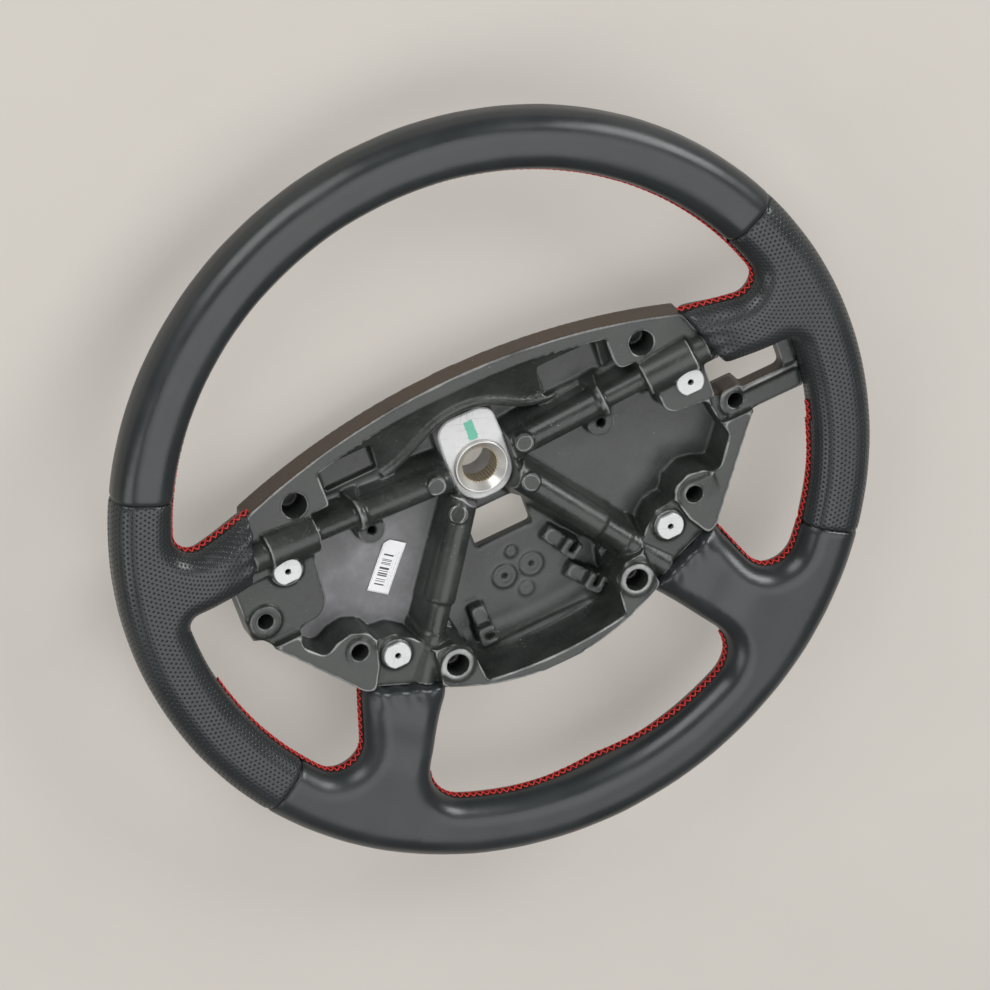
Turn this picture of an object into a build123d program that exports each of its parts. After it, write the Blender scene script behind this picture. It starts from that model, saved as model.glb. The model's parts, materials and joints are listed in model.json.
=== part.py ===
from build123d import *
import os
from math import atan2, cos, degrees, hypot, radians, sin

# Steering wheel without its airbag module, in millimetres.
# While it is built, the rim centre is the zero point: X to three o'clock, Y to twelve o'clock,
# Z along the column towards the driver. The finished parts are moved so that zero is on the
# column axis, at the back face that the wheel lies on.

# Rim and leather
rim_outer_r = 190.0
rim_width = 29.6
rim_depth = 25.6
edge_r = 11.3
leather_t = 1.4
seam_gap = 0.5
seam_upper_angle = 25.0
seam_lower_angle = 33.0
rim_inner_r = rim_outer_r - rim_width
rim_mid_r = rim_outer_r - rim_width / 2
rim_half = rim_depth / 2
core_split_y = -60.0

# Spokes
upper_dish = 6.0
lower_dish = 7.0
dish_hub_x = 109.0
dish_rim_x = 149.0
dish_zone_y = 52.0
lower_dish_angle = -48.5
lower_zone_in = -38.0
lower_zone_out = 34.0
upper_edge_rim_y = 37.5
upper_edge_slope = 0.1125
upper_edge_ref_x = 143.0
spoke_under_y = 7.5
end_low_x = 128.0
end_slope = 3.0
lower_out = (94.3, -68.9)
lower_in = (53.7, -86.4)
lower_out_lean = 0.381
lower_in_lean = 0.713
corner_upper_r = 10.0
corner_under_r = 6.0
corner_side_r = 14.0
corner_low_r = 18.0

# Red stitching, as a raised band on the inner wall of each opening
stitch_t = 0.9
stitch_gap = 0.3
stitch_h = 2.6
stitch_side_top = -29.0
stitch_low_top = -124.0

# Moulded tub
tub_top_y = 57.2
tub_corner_y = 37.5
tub_low_y = -99.2
tub_left_x = 134.0
tub_diag_top = (129.5, -25.2)
tub_side_back = -23.0
lip_z = -3.0
lip_tilt = 0.1
floor_z = -19.0
well_z = -25.0
back_z = -42.0
pan_taper = 32.0
fit_gap = 0.4
lower_step_z = -1.5
pocket_corner_r = 5.0
plateau_corner_r = 10.0
foot_r = 15.0
foot_top_z = -10.0

# Hub boss and splined bush
hub_rise = 5.0
hub_face_z = -16.0
boss_half_w = 15.6
boss_up = 29.0
boss_down = 17.0
boss_back_r = 20.0
bush_outer_r = 13.2
bush_len = 12.0
bush_proud = 2.0
seat_depth = 3.7
spline_r = 8.6
spline_depth = 0.55
spline_count = 36
pilot_r = 10.0

# Steel bars and the ring inside the rim
bar_r = 5.3
ring_r = 6.0
upper_bar_hub_z = -15.0
lower_bar_hub_z = -13.5
upper_bar_hub = (14.0, 8.0)
upper_bar_rim = (171.0, 23.0)
lower_bar_hub = (9.0, 3.0)
lower_bar_rim = (105.5, -139.6)
sleeve_in_r = 7.0
sleeve_out_r = 9.5
sleeve_low_r = 7.2
skirt = 4.5

# Fixing pads and bosses: x, y and height of the face, mirrored left and right
pad_t = 2.0
pad_up_at = (106.9, 5.1, -1.3)
pad_up_r = 7.0
pad_up_flat = 5.9
pad_up_hole_r = 1.5
pad_low_at = (73.1, -59.2, 2.4)
pad_low_r = 6.8
pad_low_flat = 6.0
pad_low_hole_r = 1.5
pad_hole_depth = 8.0
big_hole_at = (91.8, 32.7)
big_hole_r = 6.0
corner_at = (125.2, -15.7, -4.1)
corner_r = 8.0
corner_hole_r = 3.8
corner_floor_z = -6.0
low_outer_at = (89.5, -48.9, 2.4)
low_outer_r = 6.7
low_outer_hole_r = 4.2
low_inner_at = (48.1, -76.1, 6.0)
low_inner_r = 8.5
low_inner_hole_r = 5.5
small_boss_at = (61.0, 1.1, -10.3)
small_boss_r = 7.0
small_boss_hole_r = 2.2
blind_depth = 14.0

# Arm between the tub and the rim on the right
arm_top_y = -9.7
arm_low_y = -23.7
arm_front_z = -4.0
arm_back_z = -12.6
arm_web_x = 153.0
slot_left_x = 116.3

# Paper label on the floor of the tub, left of the hub
label_w = 11.2
label_l = 27.5
label_t = 0.3
label_at = (-59.6, -24.0)
label_turn = -38.6


def flat(points):
    """Face inside a closed run of straight lines."""
    return make_face(Polyline(*points, close=True))


def soften(face, points, radius):
    """Round the corners of a face that are nearest to the given points."""
    corners = [face.vertices().sort_by_distance((p[0], p[1], 0))[0] for p in points]
    return fillet(corners, radius=radius)


def ease(face, radius, points):
    """Round the corners of a face near the points, each as far as its edges let it."""
    for p in points:
        for share in (1.0, 0.7, 0.45, 0.25):
            corner = face.vertices().sort_by_distance((p[0], p[1], 0))[0]
            try:
                rounded = fillet(corner, radius=radius * share)
            except (ValueError, RuntimeError):
                continue
            if rounded.is_valid and abs(rounded.area - face.area) < 0.06 * face.area:
                face = rounded
                break
    return face


def end_x(y):
    """Half width of the hub at the end of the upper spoke leather."""
    return end_low_x - y / end_slope


def upper_edge_y(x):
    """Height of the upper spoke's top edge."""
    return upper_edge_rim_y + (upper_edge_ref_x - x) * upper_edge_slope


def circle_meet(y):
    """Half width of the rim's inner circle at a height."""
    return (rim_inner_r ** 2 - y ** 2) ** 0.5


def windows(grow):
    """The four openings: upper, left, right and lower, each made larger by grow."""
    disc = Circle(rim_inner_r)
    far = rim_outer_r + 30
    upper_points = [
        (-far, upper_edge_y(far)),
        (-60, upper_edge_y(60)),
        (60, upper_edge_y(60)),
        (far, upper_edge_y(far)),
        (far, far),
        (-far, far),
    ]
    upper = disc & flat(upper_points)
    meet_y = upper_edge_y(circle_meet(upper_edge_rim_y))
    meet_x = circle_meet(meet_y)
    upper = soften(upper, [(-meet_x, meet_y), (meet_x, meet_y)], corner_upper_r)
    sides = []
    for s in (-1, 1):
        drop = lower_out[1] + far
        lean_x = lower_out[0] + drop * lower_out_lean
        side_points = [
            (s * far, spoke_under_y),
            (s * 80, spoke_under_y),
            (s * (lower_out[0] - 15), lower_out[1] + 15 / lower_out_lean),
            (s * lean_x, -far),
            (s * far, -far),
        ]
        side = disc & flat(side_points)
        low_corner = side.vertices().sort_by(Axis.Y)[0]
        side = fillet(low_corner, radius=corner_side_r)
        top_corner = (s * circle_meet(spoke_under_y), spoke_under_y)
        side = soften(side, [top_corner], corner_under_r)
        sides.append(side)
    low_x = lower_in[0] + (far + lower_in[1]) * lower_in_lean
    top_x = lower_in[0] - 12 * lower_in_lean
    low_points = [
        (-top_x, lower_in[1] + 12),
        (top_x, lower_in[1] + 12),
        (low_x, -far),
        (-low_x, -far),
    ]
    lower = disc & flat(low_points)
    ends = lower.vertices().sort_by(Axis.Y)[0:2]
    lower = fillet(ends, radius=corner_low_r)
    shapes = [upper, sides[0], sides[1], lower]
    if grow:
        shapes = [offset(w, amount=grow) for w in shapes]
    return shapes


def hub_cut():
    """Front view of the hub where the leather stops."""
    half = [
        (end_x(48), 48),
        (end_x(0), 0),
        (end_x(0), tub_diag_top[1]),
        lower_out,
        lower_in,
    ]
    left = [(-x, y) for x, y in half]
    return flat(left + half[::-1])


def dished_slab(half, drop):
    """Slab of even thickness that sits lower by drop towards the hub, for a spoke along X."""
    middle_x = (dish_hub_x + dish_rim_x) / 2
    far = rim_outer_r + 20

    def bend(level):
        inner = TangentArc((dish_hub_x, level - drop), (middle_x, level - drop / 2), tangent=(1, 0))
        outer = TangentArc((dish_rim_x, level), (middle_x, level - drop / 2), tangent=(-1, 0))
        return [inner, outer]

    edges = [
        Line((0, half - drop), (dish_hub_x, half - drop)),
        *bend(half),
        Line((dish_rim_x, half), (far, half)),
        Line((far, half), (far, -half)),
        Line((far, -half), (dish_rim_x, -half)),
        *bend(-half),
        Line((dish_hub_x, -half - drop), (0, -half - drop)),
        Line((0, -half - drop), (0, half - drop)),
    ]
    return extrude(Plane.XZ * make_face(edges), amount=dish_zone_y + 20, both=True)


def dished(region, half):
    """Front-view region given its thickness: level round the rim, dished at the four spokes."""
    far = rim_outer_r + 20
    upper_zone = Pos(far / 2, dish_zone_y / 2) * Rectangle(far, dish_zone_y)
    lower_mid = (lower_zone_in + lower_zone_out) / 2
    lower_zone = Pos(far / 2 + 40, lower_mid) * Rectangle(far - 80, lower_zone_out - lower_zone_in)
    lower_zone = Rot(0, 0, lower_dish_angle) * lower_zone
    upper_slab = dished_slab(half, upper_dish)
    lower_slab = Rot(0, 0, lower_dish_angle) * dished_slab(half, lower_dish)
    level = region
    bent = []
    for zone, slab in ((upper_zone, upper_slab), (lower_zone, lower_slab)):
        for turned in (False, True):
            part_zone = mirror(zone, about=Plane.YZ) if turned else zone
            part_slab = mirror(slab, about=Plane.YZ) if turned else slab
            level = level - part_zone
            inside = region & part_zone
            if inside and inside.faces():
                bent.append(extrude(inside, amount=4 * rim_half, both=True) & part_slab)
    body = extrude(level, amount=half, both=True)
    for piece in bent:
        body = body + piece
    return body


def roll(edges, radius):
    """Round edges with the wanted radius, or the nearest smaller one that closes."""
    for share in (1.0, 0.97, 0.94, 0.9, 0.8):
        try:
            rounded = fillet(edges, radius=radius * share)
        except ValueError:
            continue
        if rounded.is_valid:
            return rounded
    return fillet(edges, radius=radius * 0.6)


def trim(inset):
    """Rim with four spokes, set in from the leather's outer surface by inset, edges rolled."""
    region = Circle(rim_outer_r - inset)
    for window in windows(inset):
        region = region - window
    region = region - hub_cut()
    body = dished(region, rim_half - inset)
    outline = hub_cut().face().outer_wire()
    rolled = []
    for edge in body.edges():
        start = edge.position_at(0)
        stop = edge.position_at(1)
        if hypot(start.X - stop.X, start.Y - stop.Y) < 0.001 and not edge.is_closed:
            continue
        touching = [f for f in body.faces() if any(edge.is_same(e) for e in f.edges())]
        walls = [f for f in touching if abs(f.normal_at(f.center(CenterOf.GEOMETRY)).Z) < 0.02]
        middle = edge.position_at(0.5)
        if len(walls) == 1 and outline.distance_to(Vector(middle.X, middle.Y, 0)) > 0.01:
            rolled.append(edge)
    return roll(rolled, edge_r - inset)


def sector(start, stop):
    """Tall wedge of the wheel between two angles, narrowed by half the seam gap on each side."""
    far = 2 * rim_outer_r
    steps = [start + (stop - start) * i / 6 for i in range(7)]
    rim = [(far * cos(radians(a)), far * sin(radians(a))) for a in steps]
    wedge = flat([(0, 0)] + rim)
    return extrude(offset(wedge, amount=-seam_gap / 2, kind=Kind.INTERSECTION), amount=60, both=True)


def rod(start, stop, radius):
    """Round bar between two points."""
    a = Vector(*start)
    b = Vector(*stop)
    return extrude(Plane(origin=a, z_dir=b - a) * Circle(radius), amount=(b - a).length)


def along(start, stop, distance):
    """Point on a line at a distance from its start."""
    a = Vector(*start)
    b = Vector(*stop)
    return tuple(a + (b - a).normalized() * distance)


def post(x, y, low, high, radius):
    """Upright round post between two heights."""
    return Pos(x, y, low) * extrude(Circle(radius), amount=high - low)


def block(x0, x1, y0, y1, z0, z1):
    """Box between two corners."""
    size = (abs(x1 - x0), abs(y1 - y0), abs(z1 - z0))
    middle = ((x0 + x1) / 2, (y0 + y1) / 2, (z0 + z1) / 2)
    return Pos(*middle) * Box(*size)


def ring_tube():
    """Steel ring in the middle of the rim."""
    return revolve(Plane.XZ * Pos(rim_mid_r, 0) * Circle(ring_r), axis=Axis.Z)


def web(start, stop, width, low):
    """Wall under a bar, from a low level up to the bar's middle, with sides that lean out."""
    run = hypot(stop[0] - start[0], stop[1] - start[1])
    turn = degrees(atan2(stop[1] - start[1], stop[0] - start[0]))
    middle = ((start[0] + stop[0]) / 2, (start[1] + stop[1]) / 2, low)
    rise = min(start[2], stop[2]) - low
    lean = degrees(atan2(skirt, rise))
    wall = extrude(Rectangle(run + 2 * skirt, width + 2 * skirt), amount=rise, taper=lean)
    return Pos(*middle) * Rot(0, 0, turn) * wall


def lip_at(y):
    """Height of the tub's lip."""
    return lip_z - lip_tilt * y


# Leather-covered trim
outer_trim = trim(0)
inner_trim = trim(leather_t)
leather = outer_trim - inner_trim

# Bars, one straight line from the hub to the ring for each
bar_lines = {}
for side, s in (("left", -1), ("right", 1)):
    bar_lines["upper_" + side] = (
        (s * upper_bar_hub[0], upper_bar_hub[1], upper_bar_hub_z),
        (s * upper_bar_rim[0], upper_bar_rim[1], 0),
    )
    bar_lines["lower_" + side] = (
        (s * lower_bar_hub[0], lower_bar_hub[1], lower_bar_hub_z),
        (s * lower_bar_rim[0], lower_bar_rim[1], 0),
    )

# Hub boss with its plate, round foot and bore
plate = flat([
    (-boss_half_w + 1, boss_up),
    (boss_half_w - 1, boss_up),
    (boss_half_w, 8),
    (boss_half_w - 1, -boss_down),
    (-boss_half_w + 1, -boss_down),
    (-boss_half_w, 8),
])
plate = soften(plate, [(-boss_half_w, boss_up), (boss_half_w, boss_up)], 8.5)
plate = soften(plate, [(-boss_half_w, -boss_down), (boss_half_w, -boss_down)], 13.0)
boss_len = hub_face_z - back_z
hub_boss = Pos(0, hub_rise, back_z) * extrude(plate, amount=boss_len)
hub_boss = hub_boss + post(0, hub_rise, back_z, well_z, boss_back_r)
hub_boss = chamfer(hub_boss.edges().group_by(Axis.Z)[-1], length=0.8)
hub_keep = Pos(0, hub_rise, back_z) * extrude(plate, amount=2 * boss_len)
hub_keep = hub_keep + post(0, hub_rise, back_z, well_z, boss_back_r)
bush_seat = post(0, hub_rise, hub_face_z - bush_len, hub_face_z + 1, bush_outer_r)
pilot = post(0, hub_rise, back_z - 1, hub_face_z, pilot_r)
hub_boss = hub_boss - bush_seat - pilot
bush_top = bush_len + bush_proud
bush = post(0, 0, 0, bush_top, bush_outer_r)
bush = fillet(bush.edges().group_by(Axis.Z)[-1], radius=0.4)
bush = bush - post(0, 0, -1, bush_top + 1, spline_r)
bush = bush - Pos(0, 0, bush_top - seat_depth / 2) * Cone(spline_r + 0.6, bush_outer_r - 0.8, seat_depth)
tooth = flat([(spline_r - 0.3, -0.42), (spline_r + spline_depth, 0), (spline_r - 0.3, 0.42)])
grooves = [Rot(0, 0, 360 * i / spline_count) * tooth for i in range(spline_count)]
bush = bush - extrude(Sketch() + grooves, amount=bush_top)
spline_bush = Pos(0, hub_rise, hub_face_z - bush_len) * bush

# Bars are trimmed by the boss and the ring they are welded to
bars = {}
for name, (start, stop) in bar_lines.items():
    bars[name] = rod(start, stop, bar_r) - hub_keep - ring_tube()

# Outline of the tub
right_side = [
    (end_x(tub_corner_y), tub_corner_y),
    (end_x(spoke_under_y + 1.5), spoke_under_y + 1.5),
    (slot_left_x, spoke_under_y + 1.5),
    (slot_left_x, arm_top_y),
    (tub_diag_top[0] + 2, arm_top_y),
    (tub_diag_top[0] + 2, arm_low_y),
    tub_diag_top,
    lower_out,
    lower_in,
]
left_side = [
    (-lower_in[0], lower_in[1]),
    (-lower_out[0], lower_out[1]),
    (-tub_diag_top[0], tub_diag_top[1]),
    (-tub_left_x, tub_diag_top[1] + 1.5),
    (-tub_left_x, spoke_under_y - fit_gap),
    (-end_x(spoke_under_y - fit_gap), spoke_under_y - fit_gap),
    (-end_x(tub_corner_y), tub_corner_y),
]
outline = make_face([
    ThreePointArc(left_side[-1], (0, tub_top_y), right_side[0]),
    Polyline(*right_side),
    ThreePointArc(right_side[-1], (0, tub_low_y), left_side[0]),
    Polyline(*left_side),
])
lip_plane = Plane(origin=(0, 0, lip_z), z_dir=(0, lip_tilt, 1))
shell = Pos(0, 0, tub_side_back) * extrude(outline, amount=60)
shell = split(shell, bisect_by=lip_plane, keep=Keep.BOTTOM)

# Back of the tub, tapering to the flat face that the wheel lies on
pan_side = [(104, 31), (112, -18), (82, -60), (50, -82), (34, -93)]
pan_top = [(0, tub_top_y - 7)]
pan_low = [(0, tub_low_y + 2.7)]
pan = flat(pan_top + pan_side + pan_low + [(-x, y) for x, y in pan_side[::-1]])
pan_depth = tub_side_back - back_z
pan = Pos(0, 0, tub_side_back) * extrude(pan, amount=pan_depth, dir=(0, 0, -1), taper=pan_taper)
tub = shell + pan

# Hollow of the tub down to the floor, and the deeper well round the hub
low_wall_y = -93.6
shelf = [(105, -44), (98, -40), (90, -38.5), (82, -42), (79, -49)]
shelf = shelf + [(70, -50), (62, -57), (56, -65), (46, -66), (39, -71)]
left_pocket = [(-76, 42), (-76, 25), (-90, 25), (-91.5, 4), (-94.5, -27), (-119, -28.5)]
left_pocket = left_pocket + [(-x, y) for x, y in shelf] + [(-37, -90.2)]
right_pocket = [(116, -29), (112, -8), (91, -6), (90, 25), (76, 25), (76, 42)]
right_pocket = [(37, -90.2)] + shelf[::-1] + right_pocket
pocket = make_face([
    ThreePointArc(right_pocket[-1], (0, tub_top_y - 7), left_pocket[0]),
    Polyline(*left_pocket),
    ThreePointArc(left_pocket[-1], (0, low_wall_y), right_pocket[0]),
    Polyline(*right_pocket),
])
pocket = ease(pocket, plateau_corner_r, [left_pocket[4]])
pocket = ease(pocket, pocket_corner_r, left_pocket[6:-1] + right_pocket[1:-1] + [left_pocket[2], left_pocket[5]])
tub = tub - Pos(0, 0, floor_z) * extrude(pocket, amount=60)
saddle = [(-46, 22), (-30, 28.3), (-17, 36.3), (-7, 39.6), (3, 39.7), (16, 35.2), (29, 26.5), (46, 23.5)]
well_low = [(46, 12), (26, 6), (22, -14), (34, -33), (50, -58), (40, -66), (37, -88)]
well_edge = well_low + [(-x, y) for x, y in well_low[::-1]]
well = make_face([
    Spline(*saddle),
    Polyline(saddle[-1], *well_edge, saddle[0]),
])
tub = tub - Pos(0, 0, well_z) * extrude(well & pocket, amount=60)


def slope_at(y):
    """Height of the slope that falls from the upper lip towards the hub."""
    return -8.5 + 0.38 * (y - 50)


# Slope from the upper lip down to a raised ridge that runs over the top of the hub
brow = make_face([
    ThreePointArc(right_pocket[-1], (0, tub_top_y - 7), left_pocket[0]),
    Polyline(left_pocket[0], (-76, 25), saddle[0]),
    Spline(*saddle),
    Polyline(saddle[-1], (76, 25), right_pocket[-1]),
])
slope = Plane(origin=(0, 50, slope_at(50)), z_dir=(0, -0.38, 1))
brow = Pos(0, 0, floor_z - 1) * extrude(brow, amount=40)
tub = tub + split(brow, bisect_by=slope, keep=Keep.BOTTOM)
ridge_path = Spline(*[(x, y, slope_at(y) - 0.6) for x, y in saddle])
ridge = sweep((ridge_path ^ 0) * Circle(2.8), path=ridge_path)
tub = tub + ridge
for x0, x1, y0 in ((-74, -47, 27), (41, 72, 23)):
    tub = tub - block(x0, x1, y0, 42, floor_z - 2.0, 40)
tub = tub - block(-tub_left_x - 5, -88, -28.5, 6, corner_floor_z, 40)
tub = tub - block(113, tub_left_x, -22.5, -8, corner_floor_z, 40)

# Hollow foot of the lower wall, round the same centre as the wall
wall_r = (37 ** 2 + (low_wall_y + 90.2) ** 2) / (2 * abs(low_wall_y + 90.2))
wall_mid = low_wall_y + wall_r
foot = make_face([
    ThreePointArc(
        (wall_r, foot_top_z),
        (wall_r - foot_r * 0.293, foot_top_z - foot_r * 0.707),
        (wall_r - foot_r, foot_top_z - foot_r),
    ),
    Polyline(
        (wall_r - foot_r, foot_top_z - foot_r),
        (wall_r - foot_r, well_z - 1.2),
        (wall_r + 0.3, well_z - 1.2),
        (wall_r + 0.3, foot_top_z),
        (wall_r, foot_top_z),
    ),
])
foot_plane = Plane(origin=(0, wall_mid, 0), x_dir=(0, -1, 0), z_dir=(-1, 0, 0))
foot_half = degrees(atan2(38.5, wall_r))
foot = revolve(foot_plane * foot, axis=Axis((0, wall_mid, 0), (0, 0, 1)), revolution_arc=2 * foot_half)
foot_mid = foot.center()
foot_lean = degrees(atan2(foot_mid.X, wall_mid - foot_mid.Y))
tub = tub + Pos(0, wall_mid, 0) * Rot(0, 0, -foot_lean) * Pos(0, -wall_mid, 0) * foot

# Sleeves over the bars, on webs that stand on the floor
lower_step = [(56, -66), (62, -55), (70, -48), (80, -48), (83, -60), (91, -74), (59, -89)]
for side, s in (("left", -1), ("right", 1)):
    tub = tub - Pos(0, 0, lower_step_z) * extrude(flat([(s * x, y) for x, y in lower_step]), amount=40)
    start, stop = bar_lines["upper_" + side]
    for begin, finish, radius in (
        (2, 51, sleeve_in_r),
        (49, 52.5, sleeve_in_r + 1.2),
        (74, 100, sleeve_out_r),
        (99, 108, sleeve_in_r),
    ):
        a = along(start, stop, begin)
        b = along(start, stop, finish)
        tub = tub + rod(a, b, radius) + web(a, b, 2 * radius, well_z - 1)
    tub = tub + web(along(start, stop, 50), along(start, stop, 76), 2 * bar_r - 0.6, well_z - 1)
    start, stop = bar_lines["lower_" + side]
    for begin, finish, radius in ((8, 61, sleeve_in_r + 0.6), (60, 80, sleeve_in_r - 0.6), (77, 102, sleeve_low_r)):
        a = along(start, stop, begin)
        b = along(start, stop, finish)
        tub = tub + rod(a, b, radius) + web(a, b, 2 * radius, well_z - 1)
    for x, y, radius in ((23.6, 8.9, 4.5), (19.2, -9.9, 4.8)):
        tub = tub + post(s * x, y, well_z - 1, upper_bar_hub_z + 8.4, radius)

# Bosses, pad posts and their blind holes
for s in (-1, 1):
    x, y, top = corner_at
    tub = tub + post(s * x, y, floor_z, top, corner_r)
    tub = tub - post(s * x, y, top - blind_depth, top + 20, corner_hole_r)
    x, y, top = low_outer_at
    tub = tub + post(s * x, y, floor_z - 1, top, low_outer_r)
    if s > 0:
        tub = tub + block(x, x + 12, y - 6, y + 6, floor_z - 1, top)
    tub = tub - post(s * x, y, top - blind_depth, top + 20, low_outer_hole_r)
    x, y, top = low_inner_at
    tub = tub + post(s * x, y, floor_z - 1, top, low_inner_r)
    tub = tub - post(s * x, y, top - blind_depth, top + 20, low_inner_hole_r)
    x, y, top = small_boss_at
    tub = tub + post(s * x, y, floor_z - 1, top, small_boss_r)
    tub = tub - post(s * x, y, top - blind_depth, top + 20, small_boss_hole_r)
    x, y = big_hole_at
    tub = tub - post(s * x, y, lip_at(y) - blind_depth, 20, big_hole_r)
    x, y, top = pad_low_at
    tub = tub + post(s * x, y, floor_z - 1, top - pad_t, pad_low_r + 1.0)
    x, y, top = pad_up_at
    tub = tub + post(s * x, y, floor_z - 1, top - pad_t, pad_up_r + 1.5)
tab = [(90, 20), (90.5, 3), (95, -5.5), (106, -4.5), (slot_left_x, -1), (slot_left_x, spoke_under_y + 1.5)]
tab_face = ease(flat(tab), 5.0, tab[1:5])
tub = tub + Pos(0, 0, floor_z - 1) * extrude(tab_face, amount=pad_up_at[2] - pad_t - 0.5 - floor_z + 1)

tub = tub - block(slot_left_x, arm_web_x - 1, arm_top_y + 1.1, spoke_under_y + 1, back_z, 20)

# Arm to the rim on the right, with the web that closes the end of the slot
arm = flat([
    (tub_diag_top[0], arm_top_y),
    (arm_web_x, arm_top_y),
    (arm_web_x, spoke_under_y - 1),
    (rim_inner_r + 8, spoke_under_y - 1),
    (rim_inner_r + 8, arm_low_y),
    (tub_diag_top[0], arm_low_y),
])
arm = soften(arm, [(arm_web_x, arm_top_y)], 3.0)
arm = Pos(0, 0, arm_back_z) * extrude(arm, amount=arm_front_z - arm_back_z)
rib = block(tub_diag_top[0], rim_inner_r + 8, arm_top_y - 3, arm_top_y, arm_front_z - 1, arm_front_z + 1.5)
arm = (arm + rib) - outer_trim
tub = tub + arm.solids().sort_by(Axis.X)[0]

# Opening below the hub, thin floor round it, and shallow round mould marks
tub = tub - block(-14.3, 15.5, -39.4, -20.6, back_z - 5, 0)
tub = tub - block(-36, 36, -58, -17, back_z - 5, well_z - 7)
for x, y, radius in ((-6.6, -59.5, 6.0), (7.8, -59.5, 6.0), (0.6, -48.7, 3.0), (1.4, -70.5, 3.8)):
    ring = Circle(radius * 0.78) - Circle(radius * 0.62)
    tub = tub + post(x, y, well_z - 0.5, well_z + 0.9, radius)
    tub = tub - Pos(x, y, well_z + 0.3) * extrude(ring, amount=1.5)
    tub = tub - post(x, y, well_z - 1.2, well_z + 1, radius * 0.2)

# Cable clips on the floor, each a tall block with a notch and a lower block behind it
for x, y, turn in ((26.9, -56, -55), (32.2, -78.5, -48), (-26, -79.5, -92)):
    tall = extrude(RectangleRounded(9.5, 9.0, 1.0), amount=12.0)
    notch = Pos(0.5, 2.5, 10) * Box(3.0, 8, 6)
    low = extrude(Pos(-8.5, 0) * RectangleRounded(11, 7.6, 1.0), amount=7.0)
    tub = tub + Pos(x, y, well_z - 0.5) * Rot(0, 0, turn) * (tall - notch + low)

# The tub is moulded round the metal, and stops at the leather
tub = tub - outer_trim - hub_keep
cores = {
    "rim_core_upper": inner_trim & block(-400, 400, core_split_y, 400, -80, 80),
    "rim_core_lower": inner_trim & block(-400, 400, -400, core_split_y, -80, 80),
}
for start, stop in bar_lines.values():
    tub = tub - rod(start, stop, bar_r)
    for name in cores:
        cores[name] = cores[name] - rod(start, stop, bar_r)
for name in cores:
    cores[name] = cores[name] - ring_tube()
tub = tub.solids().sort_by(SortBy.VOLUME)[-1]

# Fixing pads: round plates with two flats and a threaded hole that goes on into the post
pads = {}
for side, s in (("left", -1), ("right", 1)):
    for level, at, radius, half, hole in (
        ("upper", pad_up_at, pad_up_r, pad_up_flat, pad_up_hole_r),
        ("lower", pad_low_at, pad_low_r, pad_low_flat, pad_low_hole_r),
    ):
        x, y, top = at
        shape = Circle(radius) & Rectangle(2 * radius, 2 * half)
        pad = Pos(s * x, y, top - pad_t) * extrude(shape, amount=pad_t)
        pad = chamfer(pad.edges().group_by(Axis.Z)[-1], length=0.4)
        drill = post(s * x, y, top - pad_hole_depth, top + 1, hole)
        pads["pad_" + level + "_" + side] = pad - drill
        tub = tub - drill - post(s * x, y, top - pad_t, top + 20, radius)

# Paper label, lying on the floor of the tub
label = Pos(label_at[0], label_at[1], floor_z) * Rot(0, 0, label_turn) * Box(label_w, label_l, label_t)
label = Pos(0, 0, label_t / 2) * label - tub

# Leather in four panels, and the stitched band on the wall of each opening
panels = {
    "leather_upper": sector(seam_upper_angle, 180 - seam_upper_angle),
    "leather_left": sector(180 - seam_upper_angle, 180 + seam_lower_angle),
    "leather_lower": sector(180 + seam_lower_angle, 360 - seam_lower_angle),
    "leather_right": sector(-seam_lower_angle, seam_upper_angle),
}
leather = leather - tub
for name in panels:
    panels[name] = leather & panels[name]
stitch_limits = (
    ("stitch_upper", block(-400, 400, 0, 400, -60, 60)),
    ("stitch_left", block(-400, 0, -400, stitch_side_top, -60, 60)),
    ("stitch_right", block(0, 400, -400, stitch_side_top, -60, 60)),
    ("stitch_lower", block(-400, 400, -400, stitch_low_top, -60, 60)),
)
stitches = {}
for window, (name, limit) in zip(windows(0), stitch_limits):
    seat = offset(window, amount=-stitch_gap)
    band = (seat - offset(window, amount=-stitch_gap - stitch_t)) - offset(hub_cut(), amount=fit_gap)
    stitches[name] = (dished(band, stitch_h / 2) & limit) - tub

# One file for each part, moved so that zero is on the column axis at the back face
nodes = {
    "hub_boss": hub_boss,
    "spline_bush": spline_bush,
    "rim_ring": ring_tube(),
    "hub_tub": tub,
    "label": label,
}
nodes.update({"bar_" + name: bar for name, bar in bars.items()})
nodes.update(cores)
nodes.update(pads)
nodes.update(panels)
nodes.update(stitches)
os.makedirs("parts", exist_ok=True)
for name, shape in nodes.items():
    solids = shape.solids()
    body = solids[0] if len(solids) == 1 else Compound(solids)
    placed = Pos(0, -hub_rise, -back_z) * body
    placed.label = name
    export_step(placed, "parts/" + name + ".step")
    state = "valid" if placed.is_valid else "INVALID"
    print(name, len(solids), round(shape.volume / 1000, 2), "cm3", state)
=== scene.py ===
"""Dresses a leather-covered car steering wheel, lying face up with its airbag module taken off.

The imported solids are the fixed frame. The leather, the laced thread, the paper label and the moulded
skin of the tub are new surfaces; the hub plate, the bush and the pads keep their solids.
Lengths are in millimetres about the rim centre until they go into a mesh, which is in metres.
"""
from __future__ import annotations

import json
import logging
from dataclasses import dataclass
from enum import Enum
from typing import Iterator, Optional, Sequence, Union

import bmesh
import bpy
import numpy as np
from mathutils import Matrix

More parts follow.
